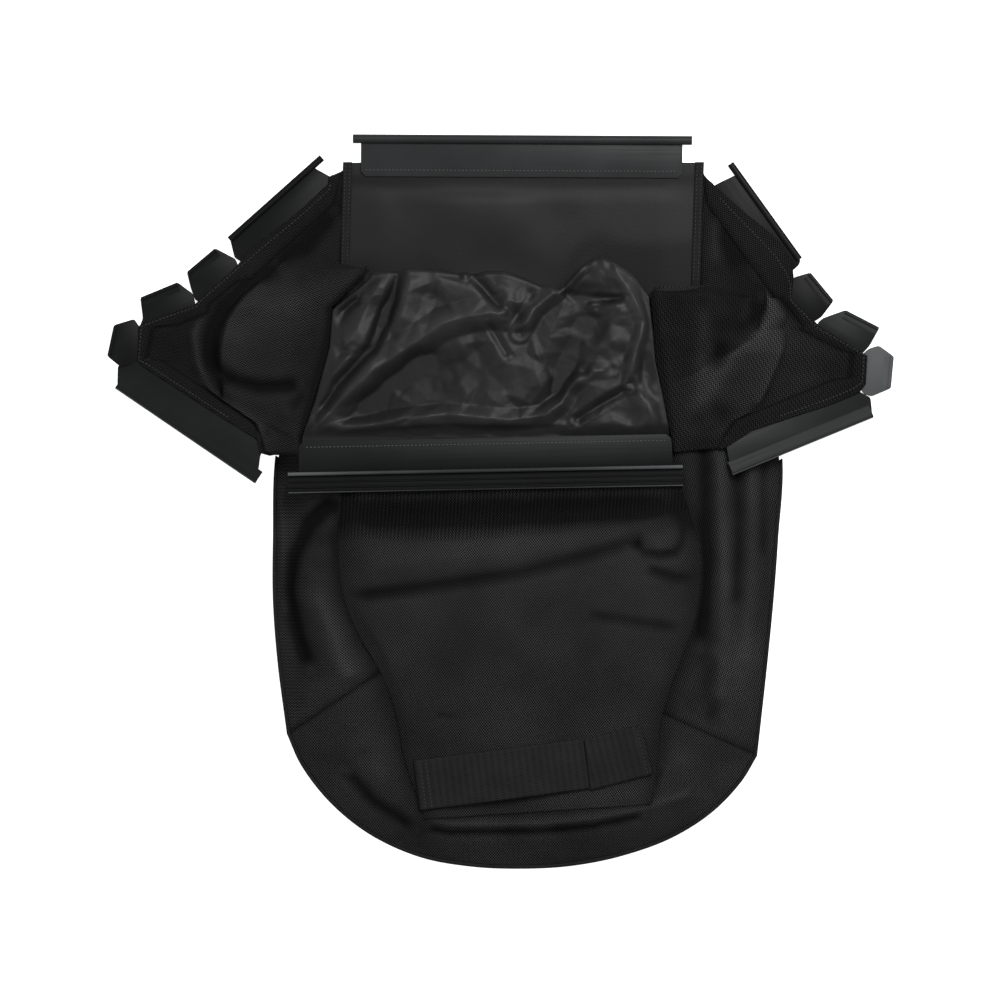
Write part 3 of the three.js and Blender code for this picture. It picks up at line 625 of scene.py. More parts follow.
def frontSurface(u, v):
    leftX, leftY = along(frontLeft, v)
    rightX, rightY = along(frontRight, v)
    x, y = mix(leftX, rightX, u), mix(leftY, rightY, u)
    y = y + crestBulge(x) * smooth(v, frontPanel["crestFrom"], 1)
    fold = clothRise(frontPanel["folds"], frontPanel["waves"], x, y)
    fold = fold * fade(u, frontPanel["sideFade"]) * fade(v, frontPanel["endFade"])
    shade = shaded(y, frontPanel["clipShade"]) + shaded(np.minimum(u, 1 - u), frontPanel["sideShade"])
    full = np.where(fold > 0, frontPanel["ridgeTone"], frontPanel["hollowTone"])
    return x, y, frontBase(x, y) + fold, paintedLightAndShade(fold, full, shade)


def buildFrontPanel():
    def ribs(x, y):
        return frontPanel["ribs"] * smooth(y - np.interp(x, *frontPanel["ribsEdge"]), -2, 8)

    bm = gridMesh(frontSurface, frontPanel["across"], frontPanel["lengthwise"], frontPanel["weaveTurn"], ribs)
    piece = sheetPiece("frontPanelCloth", bm, materials["mesh"])
    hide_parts("front_panel")
    print("front panel made")


# Back panel and deflector panel
bindingLeft = {"low": (-161, 195), "high": (-157, 339)}
bindingRight = {"low": (198.5, 195), "high": (203, 337)}


def onBinding(line, y):
    return mix(line["low"][0], line["high"][0], (y - line["low"][1]) / (line["high"][1] - line["low"][1]))


hemLeft = curveLine([
    (-166, 238), (-205, 130), (-225, 49), (-228, -39), (-228, -99), (-223.5, -160), (-214, -233),
])
hemRight = curveLine([
    (206, 219), (262, 130), (282, 46), (278, -39), (273.5, -99), (267, -165), (257, -255),
])
endArc = curveLine([
    (-214, -233), (-200, -264), (-171.5, -301), (-131.5, -333.5), (-81, -356.5), (-30, -366), (20, -368.2),
    (70, -365.5), (121, -355.5), (172, -337), (212.5, -311), (241.5, -280.5), (257, -255),
])
backPanel = {
    "across": 60,
    "lengthwise": 80,
    "thickness": 1.1,
    "inset": 5.8,
    "arcShare": 0.42,       # share of the length that lies along the closed end's arc
    "mouthShare": 0.02,
    "middle": (27.5, -80),     # towards this point the cloths stand back from the hem
}


def inward(x, y, inset):
    dx, dy = backPanel["middle"][0] - x, backPanel["middle"][1] - y
    reach = inset / np.hypot(dx, dy)
    return x + dx * reach, y + dy * reach


def backOutline(side, v):
    arcShare = backPanel["arcShare"]
    arcX, arcY = along(endArc, mix(0.5, 0 if side < 0 else 1, np.clip(v / arcShare, 0, 1)))
    past = np.clip((v - arcShare) / (1 - arcShare), 0, 1)
    sideX, sideY = along(hemLeft if side < 0 else hemRight, mix(1, backPanel["mouthShare"], past))
    inArc = v < arcShare
    x, y = inward(np.where(inArc, arcX, sideX), np.where(inArc, arcY, sideY), backPanel["inset"])
    return x, np.minimum(y, body["deflectorEnd"] - cloth["gap"])


def backSurface(u, v):
    leftX, leftY = backOutline(-1, v)
    rightX, rightY = backOutline(1, v)
    return mix(leftX, rightX, u), mix(leftY, rightY, u), cloth["thickness"] + cloth["gap"]


def buildBackPanel():
    bm = gridMesh(backSurface, backPanel["across"], backPanel["lengthwise"])
    piece = sheetPiece("backPanelCloth", bm, materials["mesh"], backPanel["thickness"])
    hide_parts("back_panel")
    print("back panel made")


deflector = {
    "across": 120,
    "lengthwise": 60,
    "mouthEnd": 338.5,
    "level": 1.6,
    "bulge": 1.2,           # how far the sheet rises between the clip and the bag
    "clipLine": 321,
    "clipFade": 25,
    "sideFade": 0.12,
    "foldTone": 6,
    "clipShade": (321, 7, 0.8),
    "crestLine": 232,       # the shade of the nylon's crest lies along this line, lower to the right
    "crestDrop": 8,
    "crestWidth": 14,
    "pocketEdge": [(70, 100, 140, 195), (224, 244, 255, 259)],
    "pocketShade": 1.2,
    "folds": [
        ([(-100, 300), (60, 285)], 30, 2.2),
        ([(-60, 240), (40, 250)], 20, -0.8),
        ([(-140, 315), (20, 312), (170, 316)], 5, -1.0),
    ],
}


def deflectorSurface(u, v):
    y = mix(body["deflectorEnd"], deflector["mouthEnd"], v)
    x = mix(onBinding(bindingLeft, y) + 1, onBinding(bindingRight, y) - 1, u)
    free = smooth(deflector["clipLine"] - y, 0, deflector["clipFade"]) * fade(u, deflector["sideFade"])
    fold = foldHeight(deflector["folds"], x, y)
    ridge = deflector["crestLine"] + crestBulge(x) - deflector["crestDrop"] * smooth(x, -60, 140)
    shade = (0.25 + 0.6 * smooth(x, 40, 90)) * bell(y, ridge, deflector["crestWidth"])
    shade += shaded(y, deflector["clipShade"])
    pocket = smooth(np.interp(x, *deflector["pocketEdge"]) - y, -14, 12) * smooth(x, 60, 90)
    shade += deflector["pocketShade"] * pocket
    z = deflector["level"] + np.maximum(0, (deflector["bulge"] + fold) * free)
    return x, y, z, paintedLightAndShade(fold, deflector["foldTone"], shade)


def buildDeflector():
    bm = gridMesh(deflectorSurface, deflector["across"], deflector["lengthwise"])
    piece = sheetPiece("deflectorSheet", bm, materials["vinyl"])
    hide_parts("deflector_panel")
    print("deflector made")


# Apron: the crumpled nylon of the cuff
cuffLeft = straightLine([(-197.5, 62), (-183.5, 101), (-169.5, 153), (-166.5, 192), (-128.5, 229)])
cuffRight = straightLine([(169, 62), (162, 100), (153.5, 138), (151, 172), (147.5, 207)])
apron = {
    "across": 190,
    "lengthwise": 140,
    "thickness": 0.5,
    "weaveTurn": 8,
    "lift": 5,
    "hang": 26,
    "drawnIn": 7.5,       # how far the crest stands back from the cuff's CAD edge
    "shares": (0.05, 0.82, 0.9),      # where the lap, the cuff and the turn end
    "lapStart": 49,
    "turnReach": 6,
    "sideFade": 0.05,
    "hingeFade": 0.08,
    "creaseSharp": 0.85,
    "foldTone": 6,
    "clipShade": (64, 5, 0.7),
    "sideShade": (0, 0.02, 0.5),
    "folds": [
        ([(-188, 70), (-126, 129), (-88, 154), (-57, 176), (-32, 183), (-6, 186), (19, 183)], 9, 8),
        ([(-160, 76), (-110, 118), (-75, 140), (-40, 150)], 18, -6),
        ([(-99, 234), (-108, 200), (-121, 167), (-128, 152), (-160, 117), (-190, 77)], 5, -8),
        ([(-86, 232), (-94, 196), (-106, 168)], 8, 4),
        ([(-112, 228), (-128, 200), (-142, 170), (-160, 140)], 9, 5),
        ([(-167, 177), (-149, 196), (-136, 203)], 4, -4),
        ([(-164, 160), (-158, 148), (-146, 150)], 4, -4),
        ([(-72, 232), (-34, 222)], 4, -5),
        ([(-33, 229), (-17, 212), (4, 187)], 4, -6),
        ([(-14, 179), (9, 141)], 3, -3),
        ([(-2, 205), (18, 196), (30, 206)], 5, 3),
        ([(19, 166), (34, 191), (58, 210), (70, 226), (84, 238)], 6, 7),
        ([(86, 226), (112, 226)], 8, 4),
        ([(108, 236), (129, 206), (144, 178), (132, 141), (129, 118)], 5, 6),
        ([(60, 209), (74, 201), (124, 200)], 3, -5),
        ([(96, 192), (124, 193)], 5, 4),
        ([(90, 194), (74, 160), (62, 118), (46, 92)], 13, -7),
        ([(92, 164), (112, 158), (122, 146)], 9, 5),
        ([(84, 128), (110, 130)], 5, 3),
        ([
            (-172, 65), (-147, 71), (-96, 82), (-52, 86), (9, 80), (44, 85), (60, 97), (70, 115), (84, 129),
        ], 6, 6),
        ([(-150, 60), (-60, 68), (60, 66)], 5, -4),
        ([(131, 115), (160, 72)], 6, 6),
        ([(70, 77), (100, 96), (128, 112)], 4, -4),
        ([(84, 74), (130, 84)], 10, 3),
        ([(146, 150), (152, 110)], 6, -4),
    ],
    "crumpleBox": (-220, 200, 40, 260),
    "crumples": [(31, 3.3, 11), (15, 1.4, 12), (7, 0.25, 13)],      # spacing, height and seed
    # Painted shade: broad patches where the nylon is painted darker
    "shadePatches": [(-47, 116, 95, 30, 0.6), (80, 172, 15, 34, 0.5)],      # x, y, half sizes and shade
}
apronCrumples = [crumpleField(apron["crumpleBox"], *settings) for settings in apron["crumples"]]


def cuffEdgeTop(x, y):
    return frontBase(x, y) + cloth["gap"] + cloth["cadThickness"] + apron["lift"]


def apronSurface(u, v):
    lapEnd, cuffEnd, turnEnd = apron["shares"]
    w = np.clip((v - lapEnd) / (cuffEnd - lapEnd), 0, 1)
    leftX, leftY = along(cuffLeft, w)
    rightX, rightY = along(cuffRight, w)
    x, y = mix(leftX, rightX, u), mix(leftY, rightY, u)
    y = y + (crestBulge(x) - apron["drawnIn"]) * smooth(w, 0.6, 1)
    crumples = sum(field(x, y) for field in apronCrumples)
    free = fade(u, apron["sideFade"])
    fold = (foldHeight(apron["folds"], x, y, apron["creaseSharp"]) + crumples) * free
    fold = fold * smooth(w, 0, apron["hingeFade"]) * smooth(1 - w, -0.3, 0.2)
    hingeZ = cuffHeight + cloth["cadThickness"]
    top = mix(hingeZ, cuffEdgeTop(x, y) + fold, smooth(w, 0, 0.1))
    lowest = frontBase(x, y) + cloth["cadThickness"] + 2 * cloth["gap"]
    top = np.maximum(top, lowest + 0.5 * np.maximum(0, crumples) * free)
    under = frontBase(x, y) - 2 * cloth["cadThickness"] - 2 * cloth["gap"]
    radius = (top - under) / 2
    turn = np.pi * np.clip((v - cuffEnd) / (turnEnd - cuffEnd), 0, 1)
    back = np.clip((v - turnEnd) / (1 - turnEnd), 0, 1)
    z = top - radius * (1 - np.cos(turn))
    y = y + np.sin(turn) * np.minimum(radius, apron["turnReach"]) - back * apron["hang"]
    y = np.where(v < lapEnd, mix(apron["lapStart"], leftY, np.clip(v / lapEnd, 0, 1)), y)
    z = np.where(v < lapEnd, hingeZ, z)
    shade = shaded(y, apron["clipShade"]) + shaded(np.minimum(u, 1 - u), apron["sideShade"])
    for patchX, patchY, halfX, halfY, dark in apron["shadePatches"]:
        shade += dark * bell(x, patchX, halfX) * bell(y, patchY, halfY)
    return x, y, z, paintedLightAndShade(fold, apron["foldTone"], shade)


def buildApron():
    bm = gridMesh(apronSurface, apron["across"], apron["lengthwise"], apron["weaveTurn"])
    piece = sheetPiece("apronCloth", bm, materials["nylon"], apron["thickness"])
    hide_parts("apron")
    print("apron made")


# Side walls: the wing at the mouth and the part along the body
wings = {
    "steps": 190,
    "rows": 130,
    "waves": [(1.6, 40, 7), (0.8, 16, 8)],
    "shares": (0.08, 0.12),     # where the lap over a plate and its turn to the wing end
    "sideFade": 0.04,
    "endFade": 0.1,
    # Painted shade: the whole wing is painted darker than the other mesh cloth
    "tone": -0.7,
    "foldTone": 8.5,
    "clipShade": (0.125, 0.012, 0.6),
    "bodyShade": (1, 0.03, 0.6),
    "lean": 0.6,      # how far the cloth beside an upper clip leads to the middle of the wing
    "cornerLean": 5,
    "over": 5.1,      # height of the cloth where it laps over a plate
    "beside": 1.6,      # height of the cloth beside the binding
    "cuffShares": (1, 0.88, 0.75, 0.6, 0.5, 0.35, 0.18, 0),
    "left": {
        "weaveTurn": 78,
        "ribs": 0.13,
        "beside": [331, 298, 262, 236],
        "middle": (-262, 165),
        "head": [(-169.5, 325.3, 5.1), (-163, 327.8, 5.1), (-159, 329.5, 3.5)],
        "tail": [(-239, 47.5, 39.5), (-229, 44.8, 39)],
        "cuffEnd": [(-198.5, 55), (-199, 45.8)],
        "folds": [
            ([
                (-272, 232), (-296, 200), (-306, 165), (-301, 136), (-293, 120), (-277, 98), (-250, 78), (-232, 66),
            ], 6, 8),
            ([(-226, 240), (-256, 214), (-276, 194), (-287, 172), (-290, 146), (-286, 122)], 7, -7),
            ([(-232, 226), (-258, 204), (-274, 180), (-280, 150), (-278, 124)], 6, 8, 60),
            ([(-262, 178), (-180, 195)], 18, 5),
            ([(-280, 124), (-240, 112), (-196, 115)], 7, -8),
            ([(-226, 238), (-196, 252), (-166, 290)], 8, -7),
            ([(-286, 118), (-262, 88), (-236, 68)], 4, -5),
            ([(-214, 86), (-190, 110)], 6, -4),
        ],
    },
    "right": {
        "weaveTurn": -35,
        "ribs": 0.3,
        "beside": [328, 295, 255, 216],
        "middle": (258, 165),
        "head": [(211.5, 318, 5.1), (206.5, 322.5, 4), (203.5, 326, 3)],
        "tail": [(219, 51.5, 39.5)],
        "cuffEnd": [(172, 48.5)],
        "folds": [
            ([(203, 200), (203, 150), (190, 75)], 9, 5),
            ([(276, 250), (266, 215), (264, 192), (257, 172), (244, 159), (228, 147), (212, 138)], 5, 13, 20),
            ([(284, 245), (281, 205), (262, 168), (238, 146), (214, 118), (196, 78)], 11, 7),
            ([(262, 206), (258, 182), (248, 166)], 8, -8),
            ([(252, 196), (249, 184)], 6, 6),
            ([(222, 190), (232, 166)], 14, -6),
            ([(208, 151), (232, 143)], 8, -8),
            ([(254, 88), (268, 115), (282, 150), (284, 174)], 4, 8, 24),
            ([(212, 290), (216, 228)], 8, 5),
            ([(228, 300), (258, 225)], 22, -9),
            ([(200, 100), (236, 76)], 9, -4),
            ([(300, 150), (330, 130)], 16, 3),
        ],
    },
}


# The wing runs from its edge on the plates, over their rims and the hinge line, to the body
def wingSurface(side):
    word = "left" if side < 0 else "right"
    look = wings[word]
    edges, rims, hinges = ([Vector(spot)] for spot in look["head"])
    for name in (word + "_upper_clip", *(f"{word}_corner_clip_{k}" for k in (1, 2, 3)), word + "_lower_clip"):
        part = clips[name]
        middle = part["frame"].inverted() @ Vector((*look["middle"], 0))
        most = wings["lean"] if "upper" in name else wings["cornerLean"]
        for x, y in clothEdges[name]:
            lean = max(-most, min(most, (middle.x - x) / (y - middle.y)))
            rim, hinge = y + part["reach"] + 1, y + part["reach"] + 6
            edges.append(part["frame"] @ Vector((x, y, wings["over"])))
            rims.append(part["frame"] @ Vector((x + lean * rim, y - rim, wings["over"])))
            hinges.append(part["frame"] @ Vector((x + lean * hinge, y - hinge, cloth["cadThickness"] + 1)))
    for x, y, z in look["tail"]:
        edges.append(Vector((x, y, z)))
        rims.append(Vector((x - side * 2, y + 0.4, z)))
        hinges.append(Vector((x - side * 4, y + 0.8, z)))
    binding, cuff = (bindingLeft, cuffLeft) if side < 0 else (bindingRight, cuffRight)
    ends = [(onBinding(binding, y) - side * 0.4, y, wings["beside"]) for y in look["beside"]]
    for t in wings["cuffShares"]:
        x, y = along(cuff, t)
        ends.append((x + side * 0.6, y, cuffEdgeTop(x, y) - 0.2))
    ends += [(x, y, cuffEdgeTop(x, y) - 0.6) for x, y in look["cuffEnd"]]

    def between(points, u):
        table = np.array([tuple(p) for p in points])
        shares = np.linspace(0, 1, len(points))
        return [np.interp(u, shares, table[:, k]) for k in range(3)]

    def surface(u, v):
        lap, turn = wings["shares"]
        edge, rim, hinge, end = (between(points, u) for points in (edges, rims, hinges, ends))
        w = np.clip((v - turn) / (1 - turn), 0, 1)
        x, y = mix(hinge[0], end[0], w), mix(hinge[1], end[1], w)
        fold = clothRise(look["folds"], wings["waves"], x, y)
        fold = fold * fade(w, wings["endFade"]) * fade(u, wings["sideFade"])
        z = np.maximum(mix(hinge[2], end[2], smooth(w, 0, 1)) + fold, cloth["thickness"] + cloth["gap"])
        spot = []
        for a, b, c, d in zip(edge, rim, hinge, (x, y, z)):
            lapped = np.where(v < lap, mix(a, b, v / lap), mix(b, c, (v - lap) / (turn - lap)))
            spot.append(np.where(v < turn, lapped, d))
        # Painted shade along the hinge line and the body edge, and over the whole wing
        shade = shaded(v, wings["clipShade"]) + shaded(v, wings["bodyShade"]) - wings["tone"]
        return *spot, paintedLightAndShade(fold, wings["foldTone"], shade)

    return surface


bodySides = {
    "across": 80,
    "lengthwise": 240,
    "left": [
        ([(-160, 6), (-190, -22), (-206, -56), (-211, -90), (-202, -134), (-190, -170)], 8, -9),
        ([(-192, -80), (-170, -126), (-160, -160), (-140, -190)], 10, 7),
        ([(-165, -20), (-178, -55)], 14, -5),
        ([(-218, 20), (-219, -60), (-214, -120)], 5, 3),
    ],
    "right": [
        ([(203, 80), (206, -60), (200, -150)], 9, -7),
        ([(218, 60), (222, -60), (224, -140), (214, -210)], 9, 6),
        ([(212, -150), (210, -240)], 9, -5),
        ([(237, 80), (239, -20), (234, -110)], 7, -5),
        ([(250, 70), (252, -60), (244, -170)], 8, 4),
        ([(263, 80), (262, -60)], 5, -3),
        ([(240, -90), (236, -220)], 14, 4),
    ],
    "top": 3.5,             # height of the cloth beside the hem
    "under": 1.1,           # how far it ends under the front panel
    "hemInset": 4,
    "gussetEnd": 0.85,
    "gussetCorners": {-1: (-133, 233), 1: (153, 212)},
    "waves": [(1.3, 35, 9), (0.7, 14, 10)],
    "sideFade": 0.1,
    "endFade": 0.05,
    "foldTone": 7,
    "frontShade": (1, 0.12, 0.7),
    "endShade": (0, 0.012, 0.5),
    "ribs": {-1: 0.24, 1: 0.12},
    "weaveTurn": {-1: 90, 1: 20},
}


def bodySideSurface(side):
    hemLine, frontLine = (hemLeft, frontLeft) if side < 0 else (hemRight, frontRight)
    folds = bodySides["left" if side < 0 else "right"]
    gussetEnd, corner = bodySides["gussetEnd"], bodySides["gussetCorners"][side]

    def surface(u, v):
        hemX, hemY = inward(*along(hemLine, 1 - v), bodySides["hemInset"])
        edgeX, edgeY = along(frontLine, mix(cornerSeam[side], 0.985, np.clip(v / gussetEnd, 0, 1)))
        past = np.clip((v - gussetEnd) / (1 - gussetEnd), 0, 1)
        edgeX, edgeY = mix(edgeX, corner[0], past), mix(edgeY, corner[1], past)
        x, y = mix(hemX, edgeX - side * 0.5, u), mix(hemY, edgeY, u)
        level = mix(bodySides["top"], frontBase(edgeX, edgeY) - bodySides["under"], np.sin(u * np.pi / 2))
        fold = clothRise(folds, bodySides["waves"], x, y)
        fold = fold * fade(u, bodySides["sideFade"]) * fade(v, bodySides["endFade"])
        shade = shaded(u, bodySides["frontShade"]) + shaded(v, bodySides["endShade"])
        return x, y, np.maximum(level + fold, bodySides["top"]), paintedLightAndShade(fold, bodySides["foldTone"], shade)

    return surface


def buildSideWall(side):
    word = "left" if side < 0 else "right"
    look = wings[word]

    def wingRibs(x, y):
        return look["ribs"] * smooth(215 - y, 0, 25) if side > 0 else look["ribs"]

    def sideRibs(x, y):
        return bodySides["ribs"][side] * (smooth(side * x, 186, 200) if side < 0 else 1)

    wing = gridMesh(wingSurface(side), wings["steps"], wings["rows"], look["weaveTurn"], wingRibs)
    piece = sheetPiece(word + "WingCloth", wing, materials["mesh"])
    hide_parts(word + "_side_wall")
    sizes = bodySides["across"], bodySides["lengthwise"], bodySides["weaveTurn"][side]
    strip = gridMesh(bodySideSurface(side), *sizes, sideRibs)
    piece = sheetPiece(word + "SideCloth", strip, materials["mesh"])
    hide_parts(word + "_side_wall")
    print(word, "side wall made")


# End band round the closed end
endBand = {
    "across": 300,
    "rows": 60,
    "sides": 0.275,       # share of the band at each end that runs along the front panel's sides
    "inset": 1.2,
    "waves": [(1.2, 35, 13), (0.6, 14, 14)],
    "frontFade": 0.12,
    "endFade": 0.03,
    "frontShade": (1, 0.12, 0.6),
    "endShade": (0, 0.006, 0.8),
    "folds": [
        ([(-156, -269), (-127, -301), (-106, -314), (-82, -330)], 7, -6),
        ([(-75, -317), (-50, -323), (40, -322), (92, -317), (144, -306), (194, -291)], 5, 4),
        ([(-75, -326), (-50, -331), (40, -330), (92, -325), (144, -314)], 5, -5),
        ([(158, -262), (152, -290)], 5, -4),
        ([(-140, -250), (-110, -290)], 10, 3),
        ([(190, -240), (170, -280)], 12, 3),
    ],
}


def endBandSurface(u, v):
    sides = endBand["sides"]
    leftX, leftY = along(frontLeft, mix(cornerSeam[-1], 0, np.clip(u / sides, 0, 1)))
    rightX, rightY = along(frontRight, mix(0, cornerSeam[1], np.clip((u - 1 + sides) / sides, 0, 1)))
    middle = np.clip((u - sides) / (1 - 2 * sides), 0, 1)
    innerX, innerY = inward(
        np.where(u < sides, leftX, np.where(u > 1 - sides, rightX, mix(leftX, rightX, middle))),
        np.where(u < sides, leftY, np.where(u > 1 - sides, rightY, mix(leftY, rightY, middle))),
        endBand["inset"],
    )
    hemX, hemY = inward(*along(endArc, mix(0.0004, 0.9996, u)), bodySides["hemInset"])
    x, y = mix(hemX, innerX, v), mix(hemY, innerY, v)
    level = mix(bodySides["top"], frontBase(innerX, innerY) - bodySides["under"], np.sin(v * np.pi / 2))
    fold = clothRise(endBand["folds"], endBand["waves"], x, y)
    fold = fold * fade(v, endBand["frontFade"]) * fade(u, endBand["endFade"])
    shade = shaded(v, endBand["frontShade"]) + shaded(np.minimum(u, 1 - u), endBand["endShade"])
    return x, y, np.maximum(level + fold, bodySides["top"]), paintedLightAndShade(fold, bodySides["foldTone"], shade)


def buildEndBand():
    bm = gridMesh(endBandSurface, endBand["across"], endBand["rows"])
    piece = sheetPiece("endBandCloth", bm, materials["mesh"])
    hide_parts("end_band")
    print("end band made")


# Hem round the body: a roll that runs along the left side, the closed end and the right side
hem = {
    "width": 5,
    "height": 4,
    "thickness": 0.7,
    "sideShare": 0.3,
    "sideStart": 0.34,      # where it starts on the sides' lines
    "roll": (-70, 265),
}


def hemSurface(u, v):
    share, start = hem["sideShare"], hem["sideStart"]
    leftX, leftY = along(hemLeft, mix(start, 1, np.clip(v / share, 0, 1)))
    arcX, arcY = along(endArc, np.clip((v - share) / (1 - 2 * share), 0, 1))
    rightX, rightY = along(hemRight, mix(1, start, np.clip((v - 1 + share) / share, 0, 1)))
    x = np.where(v < share, leftX, np.where(v > 1 - share, rightX, arcX))
    y = np.where(v < share, leftY, np.where(v > 1 - share, rightY, arcY))
    roll = np.radians(mix(*hem["roll"], u))
    inX, inY = inward(x, y, hem["width"] * (0.5 - 0.46 * np.cos(roll)))
    return inX, inY, hem["height"] * (0.52 + 0.42 * np.sin(roll))


def buildHem():
    piece = sheetPiece("bodyHem", gridMesh(hemSurface, 12, 300), materials["tape"], hem["thickness"])
    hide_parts("body_hem")
    print("hem made")


# Bindings beside the deflector, and the handle
bindings = {"width": 9, "outside": 0.5, "level": 3.3, "crown": 0.3, "thickness": 0.8}


def buildBinding(name, line, side, low, high):
    def surface(u, v):
        y = mix(low, high, v)
        x = onBinding(line, y) + side * (u * bindings["width"] - bindings["outside"])
        return x, y, bindings["level"] + bindings["crown"] * np.sin(np.pi * u)

    piece = sheetPiece(name, gridMesh(surface, 6, 60), materials["tape"], bindings["thickness"])
    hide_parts("left_binding" if side > 0 else "right_binding")


# Each length of webbing has an arch, and a left end that is turned and set back by its cut
strap = {
    "width": 50,
    "thickness": 1.6,
    "seat": 2.6,          # height of the webbing over the front panel
    "hump": (-25, 12, 1),
    "edge": 0.5,
    "handle": {"x": 1.2, "y": -272.3, "length": 170, "turn": 7.4, "arch": 6, "cut": (0, 0)},
    "end": {"x": 116.4, "y": -255, "length": 59, "turn": 14.5, "arch": 0, "cut": (7.1, 1.6)},
}


def strapSurface(place):
    turn, length, (cutTurn, cutBack) = math.radians(place["turn"]), place["length"], place["cut"]

    def surface(u, v):
        width = (u - 0.5) * strap["width"]
        run = (v - 0.5) * length + (1 - v) * (width * math.tan(math.radians(cutTurn)) - cutBack)
        x = place["x"] + run * math.cos(turn) - width * math.sin(turn)
        y = place["y"] + run * math.sin(turn) + width * math.cos(turn)
        crown = shaded(width, strap["hump"]) + strap["edge"] * np.cos(np.pi * (2 * u - 1))
        return x, y, frontBase(x, y) + strap["seat"] + crown + place["arch"] * np.sin(np.pi * v) ** 2

    return surface


def buildStrap():
    pieces = (("handleWebbing", "handle_strap", "handle"), ("strapEndWebbing", "strap_end", "end"))
    for name, node, key in pieces:
        place = strap[key]
        bm = gridMesh(strapSurface(place), 24, int(place["length"] / 2), 90 - place["turn"])
        piece = sheetPiece(name, bm, materials["webbing"], strap["thickness"])
        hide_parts(node)
    print("handle made")


# Clips: a drawn-out bead or channel, and a plate with its own outline, in the clip's own frame
def arc(radius, y, z, start, end, steps):
    angles = [math.radians(mix(start, end, i / steps)) for i in range(steps + 1)]
    return [(y + radius * math.cos(a), z + radius * math.sin(a)) for a in angles]


def beadSection(size):
    outer = size / 2
    return arc(outer, -outer, outer, -50, 232, 26) + arc(outer - 1.4, -outer, outer, 232, -50, 20)


def channelSection():
    crown = arc(1.9, -19.2, 6.2, 205, 10, 10)
    lip = arc(1.1, -1.1, 5.2, 170, 0, 6)
    ribs = [(-12, 2.2), (-11.4, 3.2), (-10.6, 3.2), (-10, 2.2), (-6.6, 2.2), (-6, 3.2), (-5.2, 3.2), (-4.6, 2.2)]
    return [(-22, 1.9), (-22, 3.9), *crown, (-16.6, 2.2), *ribs, (-2.3, 2.2), *lip, (0, 1), (-1, 0), (-17.5, 0)]


def rollSection():
    top = [(-14, 3.85), (-11, 4.1), (-8, 4.7), (-5.4, 5.15)]
    return [(-14, 2), *top, *arc(2.4, -2.4, 3, 100, -60, 10), (-5, 2)]


def lipSection(shift):
    top = [(-10, 3.85), (-4.6, 4.4), (-3.8, 4), (-3, 4.6)]
    points = [(-10, 2.2), *top, *arc(1.5, -1.5, 3.1, 90, -60, 8), (-4, 2.2)]
    return [(y + shift, z) for y, z in points]


clipShapes = {
    "top_clip": [(-161.5, -4), (160, -4), (160, -37), (156, -42), (-157, -42), (-161.5, -37)],
    "bottom_clip": [(-185.5, -19), (184.5, -19), (184.5, -47), (180, -52), (-180, -52), (-185.5, -47)],
    "left_upper_clip": [(-61, -3), (48, -2), (53.3, -17), (56, -25), (44, -40), (-64, -40), (-70, -20)],
    "right_upper_clip": [(-46.2, -2), (59, -2), (63, -6), (64, -14), (60, -40), (-52, -40), (-50, -22)],
    "left_lower_clip": [(-86.5, -4), (88, -4), (99, -20.5), (83, -37), (77, -44), (-72, -44), (-75, -26)],
    "left_corner_clip_1": [(-18, 2.3), (19, 2), (27.5, -19), (24, -31), (-26, -31), (-30, -25), (-25.2, -12)],
    "left_corner_clip_2": [
        (-20.4, 2.5), (20, 2.3), (30, -14.6), (27, -31), (-26, -31), (-31.5, -23.5), (-26, -18),
    ],
    "left_corner_clip_3": [(-15.5, 0.6), (16.2, 0.6), (26.5, -18), (14, -31), (-14, -31), (-23.5, -15)],
    "right_corner_clip_1": [(-15.5, 2.5), (21, 2.5), (25.9, -17.5), (24, -31), (-24, -31), (-22, -12.5)],
    "right_corner_clip_2": [
        (-13.8, 0.8), (24.6, 0.8), (24, -20), (21, -31), (-26, -31), (-33, -24.5), (-30.4, -17),
    ],
    "right_corner_clip_3": [
        (-16, 3.6), (16, 3.6), (26, -15), (24.5, -23), (15, -30), (-13, -30), (-21.6, -22), (-25.5, -12.4),
    ],
    "right_lower_clip": [
        (-81, -4), (77, -4), (73, -26), (70, -36), (60, -44), (-70, -44), (-78, -29), (-86, -19.5), (-82.5, -8),
    ],
}

# Painted light and shade: how much darker or lighter each clip is painted than its plastic; painted shade in the
# channel, painted highlights on the rims of the crown, the lip and the roll
clipPaintedLight = {
    "usual": -0.95,
    "top_clip": 0.1,
    "bottom_clip": -0.5,
    "left_lower_clip": -0.6,
    "right_lower_clip": -0.2,
    "right_corner_clip_2": -0.5,
    "right_corner_clip_3": 0.8,
    "channel": -1,
    "crownHighlight": (0.1, 1),      # at the middle and at the ends
    "rollHighlight": 1,
}


# A section drawn out along x by extruding its end again and again
def addSweep(bm, section, low, high, steps=8):
    end = bm.faces.new([bm.verts.new((low, y, z)) for y, z in section])
    for step in range(steps):
        raised = bmesh.ops.extrude_face_region(bm, geom=[end])["geom"]
        if step > 0:
            bmesh.ops.delete(bm, geom=[end], context="FACES_ONLY")
        end = next(g for g in raised if isinstance(g, bmesh.types.BMFace))
        bmesh.ops.translate(bm, vec=((high - low) / steps, 0, 0), verts=end.verts)


def atHeight(verts, z):
    return all(abs(v.co.z - z) < 1e-6 for v in verts)


